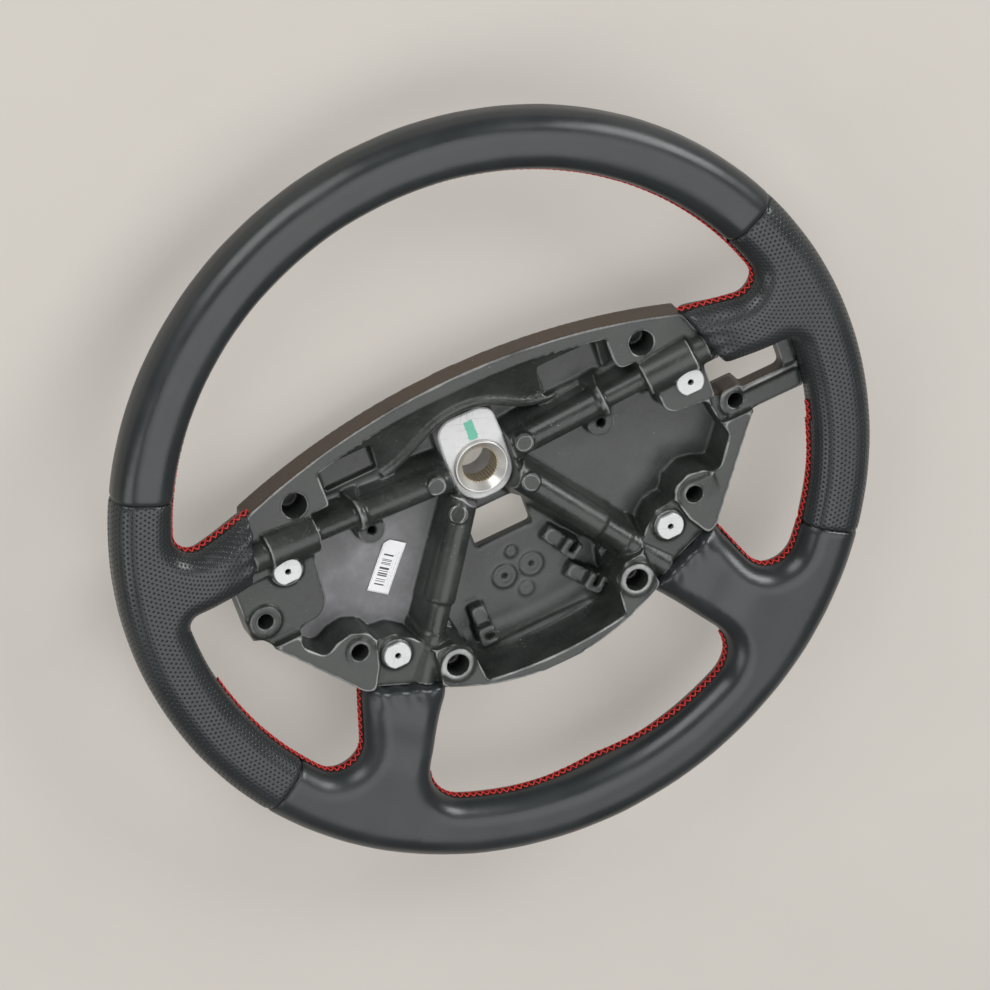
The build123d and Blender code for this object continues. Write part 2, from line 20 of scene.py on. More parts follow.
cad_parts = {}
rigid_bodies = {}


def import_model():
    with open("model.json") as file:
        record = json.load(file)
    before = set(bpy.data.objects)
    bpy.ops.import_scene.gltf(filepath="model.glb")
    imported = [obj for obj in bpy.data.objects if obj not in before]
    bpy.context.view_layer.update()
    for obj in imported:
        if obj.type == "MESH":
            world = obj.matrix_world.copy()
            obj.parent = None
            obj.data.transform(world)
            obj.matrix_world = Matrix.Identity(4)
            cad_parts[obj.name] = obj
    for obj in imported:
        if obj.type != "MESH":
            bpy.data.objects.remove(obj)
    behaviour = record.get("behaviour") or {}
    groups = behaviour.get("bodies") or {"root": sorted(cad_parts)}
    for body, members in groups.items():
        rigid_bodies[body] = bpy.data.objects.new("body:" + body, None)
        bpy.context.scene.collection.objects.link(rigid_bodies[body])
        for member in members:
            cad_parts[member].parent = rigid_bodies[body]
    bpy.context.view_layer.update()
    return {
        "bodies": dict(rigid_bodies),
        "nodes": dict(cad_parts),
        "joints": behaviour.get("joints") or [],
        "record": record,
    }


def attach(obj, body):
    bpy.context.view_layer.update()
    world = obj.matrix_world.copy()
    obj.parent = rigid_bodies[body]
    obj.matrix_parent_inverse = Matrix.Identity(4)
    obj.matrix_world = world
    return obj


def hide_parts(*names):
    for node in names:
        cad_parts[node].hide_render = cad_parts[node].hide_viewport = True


LOG = logging.getLogger("steering_wheel")
MM = 0.001
TURN = 2 * np.pi
FLAT = (1.0, 1.0, 0.0)
SOFTEN = 0.5
RESTORE = -0.52
Array = np.ndarray
Socket = bpy.types.NodeSocket
Value = Union[float, Sequence[float], Socket]
Colour = tuple[float, float, float]
Span = tuple[float, float]
Place = tuple[float, float, float]


class Hide(Enum):
    """How the leather's face is worked."""

    SMOOTH = "smooth"
    PERFORATED = "perforated"


class Panel(Enum):
    """The four leather panels, with the solids that each stands for."""

    UPPER = ("leather_upper", "rim_core_upper")
    LEFT = ("leather_left",)
    LOWER = ("leather_lower", "rim_core_lower")
    RIGHT = ("leather_right",)

    @property
    def hide(self) -> Hide:
        """Perforated at the hands, smooth above and below."""
        return Hide.PERFORATED if self in (Panel.LEFT, Panel.RIGHT) else Hide.SMOOTH


# Shader graphs


def shade(colour: Colour, factor: float) -> Colour:
    """A colour made lighter or darker."""
    return (colour[0] * factor, colour[1] * factor, colour[2] * factor)


class Graph:
    """A node tree under construction."""

    def __init__(self, tree: bpy.types.NodeTree) -> None:
        """Keeps the tree and clears it."""
        self.tree = tree
        tree.nodes.clear()

    def put(self, socket: Socket, value: Optional[Value]) -> None:
        """Links a socket to another, or sets its constant.

        Args:
            socket: The input to fill.
            value: A socket, a number or a vector; None leaves the input alone.
        """
        if value is None:
            return
        if isinstance(value, bpy.types.NodeSocket):
            self.tree.links.new(value, socket)
        elif isinstance(value, (int, float)):
            if hasattr(socket.default_value, "__len__"):
                socket.default_value = [value] * len(socket.default_value)
            else:
                socket.default_value = value
        else:
            room = len(socket.default_value)
            socket.default_value = (list(value) + [1.0])[:room]

    def node(self, kind: str, inputs: Optional[dict] = None, **props: object) -> bpy.types.Node:
        """Adds a node.

        Args:
            kind: Node type name, for shader nodes the part after "ShaderNode".
            inputs: Values or sockets by input name or index.
            props: Attributes of the node.

        Returns:
            The new node.
        """
        made = self.tree.nodes.new(kind if kind.startswith("Node") else "ShaderNode" + kind)
        for key, value in props.items():
            setattr(made, key, value)
        for key, value in (inputs or {}).items():
            self.put(made.inputs[key], value)
        return made

    def group(self, tree: bpy.types.NodeTree, inputs: dict) -> bpy.types.Node:
        """Places a shared group with its values."""
        return self.node("Group", inputs, node_tree=tree)

    def math(self, operation: str, a: Value, b: Value = 0.0) -> Socket:
        """One scalar sum; returns its result."""
        return self.node("Math", {0: a, 1: b}, operation=operation).outputs[0]

    def times(self, first: Value, *others: Value) -> Socket:
        """Product of several numbers."""
        for other in others:
            first = self.math("MULTIPLY", first, other)
        return first

    def vector(self, operation: str, a: Value, b: Value) -> Socket:
        """One vector sum; returns its vector."""
        return self.node("VectorMath", {0: a, 1: b}, operation=operation).outputs[0]

    def length(self, a: Value) -> Socket:
        """Length of a vector in the front view."""
        flat = self.vector("MULTIPLY", a, FLAT)
        return self.node("VectorMath", {0: flat}, operation="LENGTH").outputs["Value"]

    def split(self, a: Value) -> tuple[Socket, Socket, Socket]:
        """X, Y and Z of a vector."""
        parts = self.node("SeparateXYZ", {0: a}).outputs
        return parts[0], parts[1], parts[2]

    def noise(self, vector: Value, scale: float, detail: float = 3.0, rough: float = 0.55) -> Socket:
        """Fractal noise from 0 to 1."""
        inputs = {"Vector": vector, "Scale": scale, "Detail": detail, "Roughness": rough}
        return self.node("TexNoise", inputs).outputs[0]

    def step(self, value: Value, low: float, high: float, a: float = 0.0, b: float = 1.0) -> Socket:
        """Smooth change from a at low to b at high."""
        inputs = {"Value": value, "From Min": low, "From Max": high, "To Min": a, "To Max": b}
        return self.node("MapRange", inputs, interpolation_type="SMOOTHSTEP").outputs[0]

    def band(self, value: Value, rise: Span, fall: Span) -> Socket:
        """1 between a smooth rise and a smooth fall, and 0 outside."""
        return self.times(self.step(value, *rise), self.step(value, *fall, a=1.0, b=0.0))

    def mix(self, share: Value, a: Value, b: Value) -> Socket:
        """Colour between a and b."""
        return self.node("Mix", {"Factor": share, 6: a, 7: b}, data_type="RGBA").outputs[2]

    def tones(self, share: Value, colour: Colour, dark: float, light: float) -> Socket:
        """Colour between a darker and a lighter shade of one colour."""
        return self.mix(share, shade(colour, dark), shade(colour, light))

    def blend(self, share: Value, a: Value, b: Value) -> Socket:
        """Number between a and b."""
        return self.node("Mix", {"Factor": share, 2: a, 3: b}, data_type="FLOAT").outputs[0]


class SharedGroups:
    """Effects that several finishes use, each built once."""

    def __init__(self) -> None:
        """Builds every group."""
        self.grain = self._grain()
        self.holes = self._holes()
        self.film = self._film()
        self.scores = self._scores()

    @staticmethod
    def _start(name: str, outs: Sequence[str], **numbers: Value) -> tuple:
        """Opens a group that reads a vector.

        Args:
            name: Name of the group.
            outs: Names of the float outputs.
            numbers: Default values of the other inputs, numbers or vectors, by name.

        Returns:
            The tree, its graph, what it reads and what it puts out.
        """
        tree = bpy.data.node_groups.new(name, "ShaderNodeTree")
        graph = Graph(tree)
        tree.interface.new_socket("Vector", in_out="INPUT", socket_type="NodeSocketVector")
        for label, default in numbers.items():
            kind = "NodeSocketVector" if isinstance(default, tuple) else "NodeSocketFloat"
            tree.interface.new_socket(label, in_out="INPUT", socket_type=kind).default_value = default
        for label in outs:
            tree.interface.new_socket(label, in_out="OUTPUT", socket_type="NodeSocketFloat")
        return tree, graph, graph.node("NodeGroupInput").outputs, graph.node("NodeGroupOutput").inputs

    def _grain(self) -> bpy.types.NodeTree:
        """Pebbled skin: rounded cells of a given size, broken by noise."""
        tree, g, i, o = self._start("hide_grain", ("Height", "Cloud"), Size=0.001)
        where, size = i["Vector"], i["Size"]
        scale = g.math("DIVIDE", 1.0, size)
        coarse, fine = (
            g.node("TexNoise", {"Vector": where, "Scale": g.times(scale, share)}) for share in (0.35, 1.7))
        reach = g.node("CombineXYZ", {0: size, 1: size, 2: size}).outputs[0]
        bent = g.vector("ADD", where, g.vector("MULTIPLY", coarse.outputs["Color"], reach))
        cells = g.node("TexVoronoi", {"Vector": bent, "Scale": scale}, feature="SMOOTH_F1")
        dome = g.step(cells.outputs["Distance"], low=0.05, high=0.6, a=1.0, b=0.0)
        g.put(o["Height"], g.blend(0.3, dome, fine.outputs[0]))
        g.put(o["Cloud"], g.step(g.noise(where, scale=28.0, detail=4.0), low=0.3, high=0.7))
        return tree

    def _holes(self) -> bpy.types.NodeTree:
        """Staggered round holes: two lattices, one shifted by half a step both ways."""
        tree, g, i, o = self._start("punched_holes", ("Mask", "Rim"), Step=(1.0, 1.0, 1.0), Radius=0.5)
        cell = g.vector("DIVIDE", i["Vector"], i["Step"])
        away = []
        for shift in (0.0, 0.5):
            local = g.node("VectorMath", {0: g.vector("ADD", cell, (shift, shift, 0.0))}, operation="FRACTION")
            local = g.vector("SUBTRACT", local.outputs[0], (0.5, 0.5, 0.0))
            away.append(g.length(g.vector("MULTIPLY", local, i["Step"])))
        share = g.math("DIVIDE", g.math("MINIMUM", *away), i["Radius"])
        g.put(o["Mask"], g.step(share, low=0.65, high=1.15, a=1.0, b=0.0))
        g.put(o["Rim"], g.step(share, low=0.7, high=1.8))
        return tree

    def _film(self) -> bpy.types.NodeTree:
        """Cloudy release film, dust specks and fine skin of a moulding."""
        tree, g, i, o = self._start("mould_film", ("Cloud", "Specks", "Skin"))
        where = i["Vector"]
        g.put(o["Cloud"], g.step(g.noise(where, scale=42.0, detail=5.0, rough=0.6), low=0.34, high=0.72))
        dust = g.node("TexVoronoi", {"Vector": where, "Scale": 620.0, "Randomness": 1.0}).outputs
        few = g.step(g.noise(where, scale=90.0, detail=2.0), low=0.52, high=0.72)
        dot = g.step(dust["Distance"], low=0.1, high=0.2, a=1.0, b=0.0)
        keep = g.step(g.split(dust["Color"])[0], low=0.74, high=0.8)
        g.put(o["Specks"], g.times(dot, keep, few))
        g.put(o["Skin"], g.noise(where, scale=900.0))
        return tree

    def _scores(self) -> bpy.types.NodeTree:
        """Fine scratches: noise drawn out along two crossing directions."""
        tree, g, i, o = self._start("tool_scores", ("Mask",), Turn=0.0)
        drawn_out = (60.0, 1900.0, 300.0)
        lines = []
        for turn in (0.35, -1.1):
            inputs = {"Vector": i["Vector"], "Angle": g.math("ADD", i["Turn"], turn)}
            turned = g.node("VectorRotate", inputs, rotation_type="Z_AXIS").outputs[0]
            fibres = g.noise(g.vector("MULTIPLY", turned, drawn_out), scale=1.0, detail=2.0)
            lines.append(g.step(fibres, low=0.62, high=0.7))
        g.put(o["Mask"], g.math("MAXIMUM", *lines))
        return tree


class Look(Graph):
    """A material under construction, with one Principled shader."""

    def __init__(self, name: str) -> None:
        """Starts the material."""
        self.material = bpy.data.materials.new(name)
        self.material.use_nodes = True
        super().__init__(self.material.node_tree)
        self.shader = self.node("BsdfPrincipled")
        self.out = self.node("OutputMaterial", {"Surface": self.shader.outputs[0]})
        self.here = self.node("TexCoord").outputs["Object"]

    def spot(self) -> Socket:
        """Object coordinates in millimetres; those of "here" are in metres."""
        return self.vector("MULTIPLY", self.here, (1 / MM, 1 / MM, 1 / MM))

    def coat(self, colour: Value, roughness: Value) -> None:
        """Gives the shader its colour and roughness."""
        self.put(self.shader.inputs["Base Color"], colour)
        self.put(self.shader.inputs["Roughness"], roughness)

    def emboss(self, height: Value, strength: float, depth: float, normal: Optional[Socket] = None) -> None:
        """Bumps the surface.

        Args:
            height: Height in parts of the depth.
            strength: Share of the bump that shows.
            depth: Depth in millimetres.
            normal: Normal under the bump, where it isn't the surface's own.
        """
        inputs = {"Height": height, "Strength": strength, "Distance": depth * MM, "Normal": normal}
        self.put(self.shader.inputs["Normal"], self.node("Bump", inputs).outputs[0])


# Finishes


@dataclass(frozen=True)
class LeatherFinish:
    """Charcoal hide, smooth or with punched holes."""

    hide: Hide
    colour: Colour = (0.024, 0.0278, 0.029)
    roughness: float = 0.31
    grain: float = 0.75
    grain_rise: float = 0.05
    seam_line: Span = (0.25, 0.95)
    seam_drop: float = 0.5
    hole_step: tuple[float, float, float] = (2.6, 4.1, 1.0)
    hole_r: float = 0.45
    hole_rise: float = 0.3
    hole_rough: float = 0.85
    dark: float = 0.12
    seam_dark: float = 0.15

    def material(self, shared: SharedGroups) -> bpy.types.Material:
        """Builds the hide: grain, cloudy tone, dark stitched seams and, where punched, holes.

        Args:
            shared: The shared groups.

        Returns:
            The material.
        """
        g = Look("leather_" + self.hide.value)
        grain = g.group(shared.grain, {"Vector": g.here, "Size": self.grain * MM}).outputs
        tone = g.tones(grain["Cloud"], self.colour, 0.86, 1.14)
        rough = g.blend(grain["Cloud"], self.roughness - 0.04, self.roughness + 0.05)
        seam = g.node("Attribute", attribute_name="seam_mm").outputs["Fac"]
        line = g.step(seam, *self.seam_line, a=1.0, b=0.0)
        height = g.math("SUBTRACT", g.times(grain["Height"], self.grain_rise), g.times(line, self.seam_drop))
        if self.hide is Hide.PERFORATED:
            pattern = g.node("UVMap", uv_map="hide_mm").outputs[0]
            inputs = {"Vector": pattern, "Step": self.hole_step, "Radius": self.hole_r}
            holes = g.group(shared.holes, inputs).outputs
            tone = g.mix(holes["Mask"], tone, shade(self.colour, self.dark))
            height = g.math("ADD", height, g.times(holes["Rim"], self.hole_rise))
            rough = g.blend(holes["Mask"], rough, self.hole_rough)
        g.coat(g.mix(line, tone, shade(self.colour, self.seam_dark)), rough)
        g.emboss(height, strength=1.0, depth=0.35)
        return g.material


@dataclass(frozen=True)
class ThreadFinish:
    """Red twisted thread, or the dark fold of hide under it."""

    name: str
    colour: Colour
    roughness: float = 0.55
    twist: float = 0.45
    fuzz: float = 0.5

    def material(self, shared: SharedGroups) -> bpy.types.Material:
        """Builds the thread with plies slanting round it: a sine of the length plus the turn.

        Args:
            shared: The shared groups.

        Returns:
            The material.
        """
        g = Look(self.name)
        along, around, _ = g.split(g.node("UVMap", uv_map="run_mm").outputs[0])
        slant = g.math("ADD", g.times(along, TURN / self.twist), g.times(around, TURN))
        ply = g.step(g.math("SINE", slant), low=-1.0, high=1.0)
        fuzz = g.group(shared.grain, {"Vector": g.here, "Size": self.fuzz * MM}).outputs["Height"]
        tone = g.tones(ply, self.colour, 0.55, 1.1)
        g.coat(g.mix(g.times(fuzz, 0.35), tone, shade(self.colour, 1.5)), self.roughness)
        g.emboss(ply, strength=0.6, depth=0.12)
        return g.material


@dataclass(frozen=True)
class MouldedFinish:
    """Black moulded skin with a hazy film and painted sheen on its floor, brown outer walls, painted edge
    highlights with some rubbing, and painted shade in its creases.
    """

    colour: Colour = (0.030, 0.034, 0.031)
    # Light grey of the painted sheen and hazy film on the tub's floor, also the tint of the scratches.
    film: Colour = (0.25, 0.247, 0.26)
    wall: Colour = (0.045, 0.026, 0.013)
    # Light grey of the painted edge highlight, with some rubbing.
    highlight_and_rubbed: Colour = (0.5, 0.505, 0.5)
    # Dark green of the painted shade in the creases.
    crease_shade: Colour = (0.011, 0.0145, 0.0095)
    dust: Colour = (0.42, 0.42, 0.4)
    # Height, depth and left-right reach of the painted sheen and hazy film on the floor.
    sheen_haze_z: Span = (26.2, 23.8)
    sheen_haze_y: Span = (22.0, 14.0)
    sheen_haze_x: Span = (-20.0, -62.0)
    arc_centre: Place = (0.0, -296.2, 0.0)
    arc_edge: Span = (346.8, 347.7)
    arc_y: Span = (26.0, 30.0)
    slot_x: Span = (115.0, 115.5)
    slot_y: tuple[Span, Span] = ((-16.2, -15.2), (3.8, 4.2))
    edge_rise: Span = (0.26, 0.46)
    edge_fall: Span = (0.44, 0.62)
    edge_z: Span = (28.0, 37.0)
    # How far in a crease must lie to get painted shade.
    hollow_shade: Span = (-0.1, -0.6)

    def material(self, shared: SharedGroups) -> bpy.types.Material:
        """Builds the skin.

        The hazy film, which is also a painted sheen, lies on upward faces at the tub's floor and is thickest at
        the left. The brown shows on the long upper wall, where the distance from the arc's centre is the arc's
        radius, and in the slot beside the arm. Edges, with their painted highlight, and creases, with their
        painted shade, are told apart by the mesh's own "edge_mm".

        Args:
            shared: The shared groups.

        Returns:
            The material.
        """
        g = Look("moulded_skin")
        spot = g.spot()
        x, y, z = g.split(spot)
        film = g.group(shared.film, {"Vector": g.here}).outputs
        cloud = film["Cloud"]
        scores = g.group(shared.scores, {"Vector": g.here, "Turn": 0.4}).outputs["Mask"]
        up = g.split(g.node("NewGeometry").outputs["Normal"])[2]
        # Painted sheen with a hazy film: light grey on upward faces of the tub's floor, strongest at the left.
        level = g.times(g.step(up, low=0.8, high=0.97), g.step(z, *self.sheen_haze_z), g.step(y, *self.sheen_haze_y))
        left = g.step(x, *self.sheen_haze_x, a=0.1, b=1.0)
        sheen_haze = g.times(level, g.blend(0.5, cloud, 1.0), left)
        tone = g.mix(sheen_haze, g.tones(cloud, self.colour, 0.7, 1.35), self.film)
        tone = g.mix(g.times(scores, 0.1), tone, self.film)
        out = g.length(g.vector("SUBTRACT", spot, self.arc_centre))
        upper_wall = g.times(g.step(out, *self.arc_edge), g.step(y, *self.arc_y))
        slot = g.times(g.step(x, *self.slot_x), g.band(y, *self.slot_y))
        brown = g.times(g.step(up, low=0.45, high=0.2), g.math("MAXIMUM", upper_wall, slot))
        tone = g.mix(brown, tone, g.tones(cloud, self.wall, 0.75, 1.2))
        bend = g.node("Attribute", attribute_name="edge_mm").outputs["Fac"]
        # Painted highlight with some rubbing: a thin light line along the edges, fainter low down.
        thin = g.times(g.step(bend, *self.edge_rise), g.step(bend, *self.edge_fall, a=1.0, b=0.15))
        lit_and_worn_edge = g.times(thin, g.blend(cloud, 0.3, 0.85), g.step(z, *self.edge_z, a=0.35, b=1.0))
        tone = g.mix(lit_and_worn_edge, tone, self.highlight_and_rubbed)
        # Painted shade: creases darkened towards the crease colour.
        tone = g.mix(g.step(bend, *self.hollow_shade, a=0.0, b=0.4), tone, self.crease_shade)
        tone = g.mix(g.times(film["Specks"], 0.75), tone, self.dust)
        g.coat(tone, g.blend(sheen_haze, g.blend(cloud, 0.27, 0.4), 0.5))
        g.emboss(g.math("ADD", film["Skin"], g.times(scores, -0.6)), strength=0.35, depth=0.12)
        return g.material


@dataclass(frozen=True)
class MetalFinish:
    """Bare or coated metal with scratches; the hub plate also has a dab of green paint."""

    name: str
    colour: Colour
    metallic: float
    roughness: float
    score: float
    edge: float = 0.4
    bore_r: float = 0.0
    bore: Colour = (0.42, 0.36, 0.25)
    bore_edge: float = 0.4
    dab: Optional[tuple[float, float, float, float]] = None
    dab_edge: float = 0.4
    dab_ragged: float = 2.2
    green: Colour = (0.05, 0.42, 0.27)

    def material(self, shared: SharedGroups) -> bpy.types.Material:
        """Builds the metal: cloudy tone, crossing scratches, soft edges, dull bore and dab.

        Args:
            shared: The shared groups.

        Returns:
            The material.
        """
        g = Look(self.name)
        scores = g.group(shared.scores, {"Vector": g.here, "Turn": 0.0}).outputs["Mask"]
        film = g.group(shared.film, {"Vector": g.here}).outputs
        cloud = film["Cloud"]
        tone = g.tones(cloud, self.colour, 0.86, 1.0)
        tone = g.mix(g.times(scores, self.score), tone, shade(self.colour, 0.5))
        if self.bore_r:
            inside = g.step(g.length(g.spot()), self.bore_r, self.bore_r - self.bore_edge)
            tone = g.mix(inside, tone, g.tones(cloud, self.bore, 0.7, 1.0))
        metallic = self.metallic
        if self.dab:
            ragged = g.times(g.math("SUBTRACT", g.noise(g.here, scale=700.0), 0.5), self.dab_ragged)
            x, y = (g.math("ADD", axis, ragged) for axis in g.split(g.spot())[:2])
            x0, x1, y0, y1 = self.dab
            paint = g.times(
                g.band(x, (x0 - self.dab_edge, x0), (x1, x1 + self.dab_edge)),
                g.band(y, (y0 - self.dab_edge, y0), (y1, y1 + self.dab_edge)))
            tone = g.mix(g.times(paint, 0.85), tone, self.green)
            metallic = g.blend(paint, self.metallic, 0.0)
        g.put(g.shader.inputs["Metallic"], metallic)
        g.coat(tone, g.blend(cloud, self.roughness - 0.08, self.roughness + 0.08))
        soft = g.node("Bevel", {"Radius": self.edge * MM}, samples=6).outputs[0]
        height = g.blend(0.5, film["Skin"], g.math("SUBTRACT", 1.0, scores))
        g.emboss(height, strength=0.4, depth=0.1, normal=soft)
        return g.material


@dataclass(frozen=True)
class PaperFinish:
    """White label with plain bars and faint lines, no lettering."""

    colour: Colour = (0.86, 0.86, 0.875)
    ink: Colour = (0.05, 0.05, 0.055)
    roughness: float = 0.6
    bars_per_mm: float = 2.8
    bars_across: tuple[Span, Span] = ((2.2, 2.4), (7.2, 7.4))
    bars_along: tuple[Span, Span] = ((3.6, 3.8), (20.0, 20.2))
    rows_per_mm: float = 0.8
    rows_along: tuple[Span, Span] = ((2.8, 3.0), (22.0, 22.4))
    rows_before: Span = (1.8, 1.6)
    rows_after: Span = (7.9, 8.1)
    faintness: float = 0.45

    def material(self, shared: SharedGroups) -> bpy.types.Material:
        """Builds the paper: uneven bars across its middle and faint rows beside them.

        Args:
            shared: The shared groups.

        Returns:
            The material.
        """
        g = Look("label_paper")
        u, v, _ = g.split(g.node("UVMap", uv_map="sheet_mm").outputs[0])
        number = g.times(g.math("FLOOR", g.times(v, self.bars_per_mm)), 7.31)
        column = g.node("CombineXYZ", {0: number}).outputs[0]
        odd = g.node("TexWhiteNoise", {"Vector": column}, noise_dimensions="3D").outputs["Value"]
        bars = g.times(
            g.step(odd, low=0.42, high=0.44), g.band(u, *self.bars_across), g.band(v, *self.bars_along))
        middle = g.math("SUBTRACT", g.math("FRACT", g.times(u, self.rows_per_mm)), 0.5)
        row = g.step(g.math("ABSOLUTE", middle), low=0.2, high=0.1)
        marks = g.noise(g.node("CombineXYZ", {0: u, 1: g.times(v, 1.7)}).outputs[0], scale=1.3, detail=1.0)
        side = g.math("MAXIMUM", g.step(u, *self.rows_before), g.step(u, *self.rows_after))
        rows = g.times(row, g.step(marks, low=0.45, high=0.55), side, g.band(v, *self.rows_along))
        film = g.group(shared.film, {"Vector": g.here}).outputs
        print_share = g.math("MAXIMUM", bars, g.times(rows, self.faintness))
        g.coat(g.mix(print_share, g.tones(film["Cloud"], self.colour, 0.95, 1.0), self.ink), self.roughness)
        g.emboss(film["Skin"], strength=0.2, depth=0.05)
        return g.material


@dataclass(frozen=True)
class FloorFinish:
    """Warm pale grey surface under the wheel, half of whose tone the camera sees unshaded."""

    colour: Colour = (0.605, 0.57, 0.525)
    roughness: float = 0.7
    specular: float = 0.2
    unshaded: float = 0.5

    def material(self) -> bpy.types.Material:
        """Builds the floor with a faint mottled tone; reflections see what the camera sees."""
        g = Look("floor")
        cloud = g.noise(g.here, scale=9.0, detail=5.0, rough=0.6)
        tone = g.tones(cloud, self.colour, 0.96, 1.04)
        g.coat(tone, self.roughness)
        g.put(g.shader.inputs["Specular IOR Level"], self.specular)
        ray = g.node("LightPath").outputs
        mirrored = g.math("MAXIMUM", ray["Is Glossy Ray"], ray["Is Transmission Ray"])
        seen = g.math("MAXIMUM", ray["Is Camera Ray"], mirrored)
        even = g.node("Emission", {"Color": tone, "Strength": 1.0}).outputs[0]
        inputs = {0: g.times(seen, self.unshaded), 1: g.shader.outputs[0], 2: even}
        g.put(g.out.inputs["Surface"], g.node("MixShader", inputs).outputs[0])
        return g.material


# Meshes from arrays


def mesh_object(name: str, points: Array, faces: Array, centre: Sequence[float],
                uv: Optional[tuple[str, Array]] = None) -> bpy.types.Object:
    """Puts a worked-out surface into a mesh.

    Args:
        name: Name of the piece.
        points: Points about the rim centre, in millimetres.
        faces: Rows of point numbers, all of one length.
        centre: The rim centre in the row frame, in millimetres.
        uv: Name of a UV map and its value for each point.

    Returns:
        The linked object, smooth shaded.
    """
    mesh = bpy.data.meshes.new(name)
    count, sides = faces.shape
    mesh.vertices.add(len(points))
    mesh.vertices.foreach_set("co", ((points + np.asarray(centre)) * MM).astype(np.float32).ravel())
    mesh.loops.add(count * sides)
    mesh.loops.foreach_set("vertex_index", faces.astype(np.int32).ravel())
    mesh.polygons.add(count)
    mesh.polygons.foreach_set("loop_start", np.arange(0, count * sides, sides, dtype=np.int32))
    mesh.polygons.foreach_set("use_smooth", np.ones(count, dtype=bool))
    mesh.update(calc_edges=True)
    if uv is not None:
        layer = mesh.uv_layers.new(name=uv[0])
        layer.data.foreach_set("uv", uv[1][faces.ravel()].astype(np.float32).ravel())
    made = bpy.data.objects.new(name, mesh)
    bpy.context.scene.collection.objects.link(made)
    return made


def point_values(piece: bpy.types.Object, name: str, values: Array) -> None:
    """Keeps one number for each point of a piece."""
    layer = piece.data.attributes.new(name, "FLOAT", "POINT")
    layer.data.foreach_set("value", values.astype(np.float32))


def hand_in(piece: bpy.types.Object, material: bpy.types.Material, slot: str, *solids: str) -> None:
    """Dresses a finished piece, attaches it to the wheel's root body and hides the solids that it stands for.

    Args:
        piece: The piece.
        material: Its material.
        slot: Name of its material slot; not used.
        solids: Solids that it stands for, if any.
    """
    piece.data.materials.append(material)
    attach(piece, "root")
    if solids:
        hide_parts(*solids)


def grid_faces(rows: int, columns: int, wrap: bool) -> Array:
    """Quads of a grid of points.

    Args:
        rows: Points along the first parameter.
        columns: Points along the second parameter.
        wrap: True where the last column joins the first.

    Returns:
        One row of four point numbers for each quad.
    """
    r, c = np.meshgrid(np.arange(rows - 1), np.arange(columns if wrap else columns - 1), indexing="ij")
    n = (c + 1) % columns
    here, below = r * columns, (r + 1) * columns
    return np.stack([here + c, below + c, below + n, here + n], -1).reshape(-1, 4)


def ramp(t: Array) -> Array:
    """Smooth rise from 0 to 1: three t squared less two t cubed."""
    t = np.clip(t, 0.0, 1.0)
    return t * t * (3.0 - 2.0 * t)


def even_skin(nodes: dict[str, bpy.types.Object], starts: tuple[str, ...], voxel: float,
              centre: Sequence[float]) -> tuple[Array, Array]:
    """One even quad skin round several solids together.

    Args:
        nodes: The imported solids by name.
        starts: How the names of the wanted solids start.
        voxel: Size of the quads.
        centre: The rim centre in the row frame, in millimetres.

    Returns:
        Points about the rim centre in millimetres, and quads.
    """
    weld = 2e-6
    soup = bmesh.new()
    for name, node in nodes.items():
        if name.startswith(starts):
            soup.from_mesh(node.data)
    bmesh.ops.remove_doubles(soup, verts=soup.verts, dist=weld)
    mesh = bpy.data.meshes.new("soup")
    soup.to_mesh(mesh)
    soup.free()
    raw = bpy.data.objects.new("soup", mesh)
    bpy.context.scene.collection.objects.link(raw)
    remesh = raw.modifiers.new("even", "REMESH")
    remesh.mode = "VOXEL"
    remesh.voxel_size = voxel * MM
    even = bpy.data.meshes.new_from_object(raw.evaluated_get(bpy.context.evaluated_depsgraph_get()))
    points = np.empty(len(even.vertices) * 3)
    even.vertices.foreach_get("co", points)
    faces = np.empty(len(even.polygons) * 4, dtype=np.int64)
    even.loops.foreach_get("vertex_index", faces)
    bpy.data.objects.remove(raw)
    bpy.data.meshes.remove(mesh)
    bpy.data.meshes.remove(even)
    return points.reshape(-1, 3) / MM - np.asarray(centre), faces.reshape(-1, 4)


def renumber(faces: Array) -> tuple[Array, Array]:
    """Numbers of the points that some quads use, and the quads counted among those."""
    used, local = np.unique(faces, return_inverse=True)
    return used, local.reshape(-1, 4)


def edges_of(faces: Array) -> Array:
    """Pairs of points that are neighbours in the quads, each pair once."""
    pairs = faces[:, [0, 1, 1, 2, 2, 3, 3, 0]].reshape(-1, 2)
    return np.unique(np.sort(pairs, axis=1), axis=0)


def relax(points: Array, edges: Array, factors: Sequence[float], weight: Optional[Array] = None) -> Array:
    """Moves each point towards the mean of its neighbours, once for each factor.

    A positive factor smooths and a slightly larger negative one after it puts the size back.

    Args:
        points: Points to move.
        edges: Pairs of neighbours.
        factors: Share of the way to the mean, in order.
        weight: Share of the move for each point.

    Returns:
        The moved points.
    """
    a, b = edges[:, 0], edges[:, 1]
    size = len(points)
    count = np.maximum(np.bincount(edges.ravel(), minlength=size), 1)
    for factor in factors:
        sums = [np.bincount(a, p[b], size) + np.bincount(b, p[a], size) for p in points.T]
        move = factor * (np.stack(sums, 1) / count[:, None] - points)
        points = points + (move if weight is None else move * weight[:, None])
    return points


def point_normals(points: Array, faces: Array) -> Array:
    """Unit normal at each point: the sum of its quads' crossed diagonals."""
    cross = np.cross(points[faces[:, 2]] - points[faces[:, 0]], points[faces[:, 3]] - points[faces[:, 1]])
    total = np.zeros_like(points)
    for k in range(4):
        for axis in range(3):
            total[:, axis] += np.bincount(faces[:, k], cross[:, axis], len(points))
    return total / np.maximum(np.linalg.norm(total, axis=1, keepdims=True), 1e-9)


# The wheel


